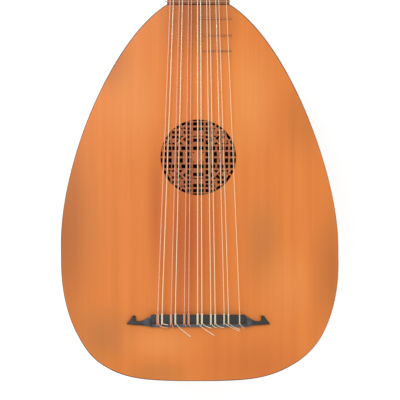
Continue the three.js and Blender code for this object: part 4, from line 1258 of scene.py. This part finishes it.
# %% Round tubes
def tube(points, radius, sides=10):
    """A closed round tube along points, with U round it and V along it in metres."""
    vertices, lengths = [], []
    ahead = (points[1] - points[0]).normalized()
    up = ahead.orthogonal().normalized()
    travelled = 0.0
    for number, point in enumerate(points):
        after = points[min(number + 1, len(points) - 1)]
        before = points[max(number - 1, 0)]
        ahead = (after - before).normalized()
        up = (up - ahead * up.dot(ahead)).normalized()
        side = ahead.cross(up)
        travelled += (point - before).length
        lengths.append(travelled)
        for step in range(sides):
            angle = 2 * math.pi * step / sides
            vertices.append(point + radius * (math.cos(angle) * up + math.sin(angle) * side))
    faces = []
    for ring in range(len(points) - 1):
        for step in range(sides):
            a, b = ring * sides + step, ring * sides + (step + 1) % sides
            faces.append((a, b, b + sides, a + sides))
    faces.append(tuple(reversed(range(sides))))
    faces.append(tuple(range(len(vertices) - sides, len(vertices))))
    piece = drawn("tube", vertices, [], faces)
    uv = piece.data.uv_layers.new(name="UVMap")
    for loop in piece.data.loops:
        ring, step = divmod(loop.vertex_index, sides)
        uv.data[loop.index].uv = (step / sides * radius, lengths[ring])
    return piece


print("tube helper ready")

# %% [markdown]
# ## Frets
# Nine frets are gut tied round the neck, each at its own semitone, with its knot at the bass
# edge. Each is a tube along a loop of points round the neck, and two small rings make its
# knot. On the body there is nothing to tie round, so three thin slips of hardwood are glued
# to the board instead, under the treble strings.

# %% Tied frets
def fret_y(number):
    """The place of a fret: the string gets shorter by a semitone at each one."""
    return bridge_front + string_length / 2 ** (number / 12)


fret_radius = 0.45 * MM
for number in range(1, 10):
    y = fret_y(number)
    clear = 0.35 * MM + fret_radius
    half = neck_half_at(y) + clear
    depth = taper(y, neck_depth, nut_depth) + clear
    edge = board_top - 1.5 * MM
    points = [(-half, edge), (-half + clear / 2, board_top + clear / 2),
              (-half + 2 * clear, board_top + clear), (0, board_top + clear),
              (half - 2 * clear, board_top + clear), (half - clear / 2, board_top + clear / 2),
              (half, edge)]
    for step in range(1, 16):
        angle = math.pi * step / 16
        points.append((half * math.cos(angle), neck_top - depth * math.sin(angle)))
    points.append((-half, edge - fret_radius))
    loop = tube(smooth_route([Vector((x, y, z)) for x, z in points], 5), fret_radius, 10)
    knot_place = Vector((-half - 0.5 * MM, y, edge))
    knot = []
    for tilt in (0.5, -0.5):
        start()
        bpy.ops.mesh.primitive_torus_add(major_radius=0.62 * MM, minor_radius=0.4 * MM,
                                         major_segments=20, minor_segments=10,
                                         location=knot_place,
                                         rotation=(tilt, math.pi / 2, 0))
        knot.append(bpy.context.object)
    keep(join([loop, *knot]), f"gut_fret_{number}", fret_gut, "gut", f"tied_fret_{number}",
         f"tied_fret_{number}")
print("tied frets from y =", round(fret_y(1), 4), "to", round(fret_y(9), 4))

# %% Frets on the board
# The slips are brown plum wood, a little darker than the board
slip_wood = hardwood("plum wood slips", "C87A40", "A8602E", 1.2 * MM, 0.45, 0.1)
# Each fret's number, and where its bass end lies as a share of the neck's half-width
for number, share in ((10, -0.07), (11, 0.14), (12, 0.14)):
    left, right = share * neck_half, 37 * MM
    section = [(-0.8 * MM, 0), (0.8 * MM, 0), (None, (0.8 * MM, 0.5 * MM), (0.6 * MM, 1.1 * MM)),
               ((-0.6 * MM, 1.1 * MM), (-0.8 * MM, 0.5 * MM), None)]
    slip = cut_plate(section, right - left, 0.12 * MM, steps=6)
    lie = Matrix(((0, 0, 1, left), (1, 0, 0, fret_y(number)),
                  (0, 1, 0, board_top + seam), (0, 0, 0, 1)))
    place_by(slip, lie)
    keep(slip, f"slip_fret_{number}", slip_wood, "plum", "lute", f"body_fret_{number}")
print("slips at y =", [round(fret_y(n), 4) for n in (10, 11, 12)])

# %% [markdown]
# ## The pegbox
# The pegbox bends back from the nut at nearly a right angle, so that the strings press on the
# nut. It is an open trough of two cheeks, a back and a block at each end. It is easiest to
# make in its own frame, with Y down its length and Z out of its open front, and then to put
# it in place with one matrix. Each cheek is drilled thirteen times for the pegs.

# %% Pegbox measures
peg_count = 13
# The first peg's place, the pegs' spacing, and the room behind the last peg
first_peg, peg_pitch, last_room = 22 * MM, 9.75 * MM, 15 * MM
pegbox_length = first_peg + (peg_count - 1) * peg_pitch + last_room
cheek_thickness, back_thickness = 4.2 * MM, 3 * MM
# Half of the width at the far end, and how far the front edge drops towards it
end_half, front_drop = 17 * MM, 8 * MM
cheek_back = -pegbox_depth + back_thickness + seam
box_taper = math.atan((nut_half - end_half) / pegbox_length)


def box_half(y):
    """Half of the pegbox's width at y down its length."""
    return nut_half - y * math.tan(box_taper)


def box_front(y):
    """Height of the cheeks' front edge, which drops towards the end."""
    return -front_drop * (y - pegbox_top) / (pegbox_length - pegbox_top)


peg_y = [first_peg + n * peg_pitch for n in range(peg_count)]
peg_z = [(box_front(y) + cheek_back) / 2 for y in peg_y]
peg_side = [-1 if n % 2 == 0 else 1 for n in range(peg_count)]
tip_radius, head_radius = 3.1 * MM, 4 * MM


def peg_radius(number, x):
    """Radius of a peg's shaft at x: it tapers from its head's side to its tip."""
    reach = box_half(peg_y[number])
    share = (x * peg_side[number] + reach) / (2 * reach)
    return tip_radius + (head_radius - tip_radius) * share


print("pegbox:", round(pegbox_length, 4), "m long, taper", round(math.degrees(box_taper), 2))

# %% Cheeks
cheek_end = pegbox_length / math.cos(box_taper)
near, far = (pegbox_top, 0), (cheek_end, box_front(pegbox_length))
bend = ((pegbox_top + cheek_end) / 2, box_front(pegbox_length / 2))


def handle(point):
    """The handle of an end of the front edge, two thirds of the way to its bend."""
    return tuple(p + (b - p) * 2 / 3 for p, b in zip(point, bend))


outline = [(pegbox_top, cheek_back), (cheek_end, cheek_back), (None, far, handle(far)),
           (handle(near), near, None)]
for side, name in ((-1, "bass"), (1, "treble")):
    cheek = cut_plate(outline, cheek_thickness, 0.7 * MM, steps=24)
    lift = 0 if side < 0 else -cheek_thickness
    stand = Matrix(((0, 0, 1, lift), (1, 0, 0, 0), (0, 1, 0, 0), (0, 0, 0, 1)))
    stand = Matrix.Rotation(side * box_taper, 4, "Z") @ stand
    place_by(cheek, Matrix.Translation((side * nut_half, 0, 0)) @ stand)
    drills = []
    for number in range(peg_count):
        x = side * (box_half(peg_y[number]) - cheek_thickness / 2)
        start()
        bpy.ops.mesh.primitive_cylinder_add(
            vertices=32, radius=peg_radius(number, x) + 0.25 * MM, depth=14 * MM,
            location=(x, peg_y[number], peg_z[number]), rotation=(0, math.pi / 2, 0))
        drills.append(bpy.context.object)
    cut_away(cheek, join(drills))
    place_by(cheek, pegbox_frame)
    keep(cheek, f"cheek_{name}", bent_maple, "maple", "lute", f"pegbox_cheek_{name}")
print("cheeks drilled:", peg_count, "holes each")

# %% Back and blocks
inset = (cheek_thickness + seam) / math.cos(box_taper)
for name, y0, y1, narrow, z0, z1 in (
        ("back", pegbox_top, pegbox_length, 0, -pegbox_depth, -pegbox_depth + back_thickness),
        ("end_block", pegbox_length - 8 * MM, pegbox_length, inset, cheek_back, -front_drop),
        ("head_block", pegbox_top, pegbox_top + 9 * MM, inset, cheek_back, -16 * MM)):
    plate = cut_plate(strip_between(lambda y: box_half(y) - narrow, y0, y1), z1 - z0, 0.6 * MM)
    place_by(plate, pegbox_frame @ Matrix.Translation((0, 0, z0)))
    keep(plate, f"trough_{name}", bent_maple, "maple", "lute", f"pegbox_{name}")
print("trough closed")

# %% [markdown]
# ## Pegs
# Each peg is turned on a lathe: a tapered shaft, a beaded collar and a slim neck, with a flat
# oval head to grip, hollowed on both faces and tipped with a small bead. The shaft and the
# head are made once. Each peg then gets its own copies, with the shaft drawn out to the width
# of the pegbox at its place.

# %% Peg models
def turned(profile, steps=28):
    """A turned piece: (x, radius) points in millimetres, spun round the X axis."""
    piece = drawn("turned", [(x * MM, 0, radius * MM) for x, radius in profile],
                  [(i, i + 1) for i in range(len(profile) - 1)], [])
    edit_all(piece)
    bpy.ops.mesh.spin(steps=steps, angle=2 * math.pi, center=(0, 0, 0), axis=(1, 0, 0))
    bpy.ops.object.mode_set(mode="OBJECT")
    clean(piece, 0.005 * MM)
    return piece


# The shaft's ends go to their places later, when each peg's length is known
shaft_model = turned([(-1, 0), (-1, tip_radius / MM), (1, head_radius / MM), (1, 0)])
collar_model = turned([(0, 0), (0, 4), (0.3, 4), (0.7, 4.7), (1.4, 4.9), (2.1, 4.7), (2.5, 3.9),
                       (2.8, 3.7), (3.2, 3.9), (3.6, 3.4), (4.6, 2.7), (6.4, 2.6), (8.2, 3.2),
                       (8.7, 0)])
bead = turned([(0, 0), (0, 1.1), (0.5, 1.5), (1.3, 1.5), (2.0, 1.0), (2.3, 0)], 16)
place_by(bead, Matrix.Translation((24.4 * MM, 0, 0)))
print("turned parts:", len(collar_model.data.polygons), "faces in the collar")

# %% Peg head
# Four points round the oval with their handles, in millimetres
outline = [[(x * MM, y * MM) for x, y in knot] for knot in (
    ((0, 5), (0, 0), (0, -5)), ((4.5, -8), (11, -8), (17, -8)),
    ((19.6, -4.5), (19.6, 0), (19.6, 4.5)), ((17, 8), (11, 8), (4.5, 8)))]
head_thickness = 5.6 * MM
head = cut_plate(outline, head_thickness, 1.4 * MM, steps=12)
# The two flat faces are hollowed
edit_faces(head, lambda face: abs(face.normal.z) > 0.99)
bpy.ops.mesh.dissolve_limited(angle_limit=math.radians(1))
bpy.ops.mesh.inset(thickness=0.9 * MM, depth=-0.5 * MM)
bpy.ops.mesh.inset(thickness=1.6 * MM, depth=-0.5 * MM)
bpy.ops.object.mode_set(mode="OBJECT")
place_by(head, Matrix.Translation((5.4 * MM, 0, -head_thickness / 2)))
head_model = join([collar_model, head, bead])
print("head:", len(head_model.data.polygons), "faces")

# %% Thirteen pegs
def copied(model):
    """A copy with its own mesh."""
    twin = model.copy()
    twin.data = model.data.copy()
    bpy.context.scene.collection.objects.link(twin)
    return twin


# Each head stands turned a bit further than the last, as pegs do when a lute is in tune
head_turn = math.radians(37)
# The tip stands out of the far cheek, and the head's collar starts just inside the shaft
tip_out, collar_in = 2.2 * MM, 0.1 * MM
for number in range(peg_count):
    reach = box_half(peg_y[number])
    shaft = copied(shaft_model)
    for vertex in shaft.data.vertices:
        vertex.co.x = -reach - tip_out if vertex.co.x < 0 else reach + seam
    top = copied(head_model)
    place_by(top, Matrix.Translation((reach + seam - collar_in, 0, 0))
             @ Matrix.Rotation(number * head_turn, 4, "X"))
    peg = join([shaft, top])
    flip = Matrix() if peg_side[number] > 0 else Matrix.Rotation(math.pi, 4, "Z")
    home = pegbox_frame @ Matrix.Translation((0, peg_y[number], peg_z[number]))
    place_by(peg, home @ flip)
    part = f"peg_{'bass' if number % 2 == 0 else 'treble'}_{number // 2 + 1}"
    keep(peg, f"turned_{part}", rosewood, "rosewood", part, part)
bpy.data.objects.remove(shaft_model)
bpy.data.objects.remove(head_model)
print("pegs:", peg_count)

# %% [markdown]
# ## Strings
# Each string starts as a loose end behind the bridge, crosses the block, drops in front of
# it, passes round itself and back over the block, and goes through its hole. From there it
# runs to the nut, bends down into the pegbox and winds round its peg. Those points are the
# same as the model's own, and a smooth curve through them becomes the string.

# %% Loops at the bridge
# How far each loose end's bend and its cut end lie beside the hole and behind the bridge,
# in millimetres
tails = [(3, -1.2, 11, 0.8), (2.5, -3.4, 6.4, -2.8), (1.5, -2.4, 2.6, 0.6),
         (5, 1, 17.2, 10.9), (1, -2.8, 2.2, -1.2), (1, -2.8, 2.2, -1.2),
         (5.2, 0.2, 18.5, 9.3), (3.6, -1.6, 10.8, 1.2), (2.4, -1.6, 6.5, 0.8),
         (3, -1.6, 9.6, 0.6), (6, -0.8, 17.8, 4.7), (4.4, -1.2, 12.7, 2.6),
         (2, -1.6, 5, 1.2)]


def hollow_height(depth):
    """Height of the bridge's hollowed back at a depth behind its front."""
    share = min((depth - crest_depth) / (bridge_depth - crest_depth), 1)
    return bridge_height + (heel_height - bridge_height) * share


def bridge_route(string, radius):
    """A string's points from its cut end to the bridge hole's front."""
    x, clear = bridge_x[string], seam + radius
    close, spread = radius + 0.1 * MM, 2 * radius + 0.5 * MM
    edge, top = 0.4 * MM - 0.7 * clear, 7.75 * MM + clear
    bend_x, bend_back, end_x, end_back = (v * MM for v in tails[string])
    loop_low = hole_height - 2 * radius - 1.1 * MM

    def at(dx, depth, height):
        """A point near the bridge, from the hole's x, the front and the foot."""
        return Vector((x + dx, bridge_front - depth, board_top + seam + height))

    def rest(dx, behind):
        """A point of the loose end, lying on the hollowed back or on the board."""
        depth = bridge_depth + behind
        low = 0.7 * MM if behind > 3 * MM else hollow_height(depth)
        return at(dx, depth, clear + low)

    def over(dx):
        """Points of a strand that crosses the block, from back to front."""
        return [at(dx, crest_depth - edge, bridge_height + clear / 2), at(dx, 8.2 * MM, top),
                at(dx, 1.6 * MM, top), at(dx, edge, bridge_height - edge)]

    return [rest(end_x, end_back), rest(bend_x, bend_back), *over(close),
            at(spread, -clear, 6.4 * MM), at(0.7 * spread, -clear, loop_low),
            at(-0.7 * spread, -clear, loop_low), at(-spread, -clear, 6.4 * MM),
            *reversed(over(-close)), at(-close, 10.6 * MM + clear, hole_height + 0.8 * MM),
            at(0, 10.6 * MM + clear / 2, hole_height), at(0, crest_depth, hole_height),
            at(0, 0, hole_height)]


print("loose ends:", len(tails))

# %% Turns round the pegs
peg_turns, turn_steps = 2, 9
# The first peg's string winds near its cheek, and the last peg's near the middle
near_cheek, near_middle = 0.68, 0.12
# The neck's end, where a string bends down into the pegbox, seen along the pegbox
bend_place = Vector((seam, -1 * MM))


def peg_route(string, radius):
    """A string's turns round its peg, from where it first touches."""
    number = 2 * string if string < 7 else 2 * (12 - string) + 1
    side = -1 if string < 7 else 1
    inner = box_half(peg_y[number]) - cheek_thickness
    begin = side * inner * (near_cheek + (near_middle - near_cheek) * (number // 2) / 6)
    about = peg_radius(number, begin) + seam + 0.25 * MM + radius
    axis = Vector((peg_y[number], peg_z[number]))
    away = bend_place - axis
    touch = math.atan2(away.y, away.x) - math.acos(about / away.length)
    points = []
    for step in range(peg_turns * turn_steps + 1):
        angle = touch - 2 * math.pi * step / turn_steps
        place = Vector((begin + side * (2 * radius + 0.55 * MM) * step / turn_steps,
                        axis.x + about * math.cos(angle), axis.y + about * math.sin(angle)))
        points.append(pegbox_frame @ place)
    return points


print("turns round each peg:", peg_turns)

# %% Thirteen strings
for string, radius in enumerate(radii):
    clear = seam + radius
    middle = Vector(((bridge_x[string] + nut_x[string]) / 2, (bridge_front + nut_y) / 2,
                     (hole_z + nut_z) / 2))
    points = [*bridge_route(string, radius), middle, Vector((nut_x[string], nut_y, nut_z)),
              Vector((nut_x[string], nut_y + nut_thickness, nut_z)),
              Vector((nut_x[string], neck_end + clear, nut_z - clear)),
              *peg_route(string, radius)]
    piece = tube(smooth_route(points), radius)
    name = string_names[string]
    wound = name in ("7_bass", "6_bass", "5_a", "5_b")
    keep(piece, f"cord_{name}", copper if wound else gut, "copper" if wound else "gut",
         "lute", f"string_{name}")
print("strings:", len(radii))

# %% [markdown]
# ## Inside the bowl
# The block that holds the neck and the liner at the tail stay as the model has them, because
# they are hidden by the board. They only need their bare wood.

# %% Wood of the inner parts
for name in ("neck_block", "end_liner"):
    part = frame["nodes"][name]
    if not part.material_slots:
        part.data.materials.append(bare_spruce)
    part.material_slots[0].material = bare_spruce
print("inner parts finished")
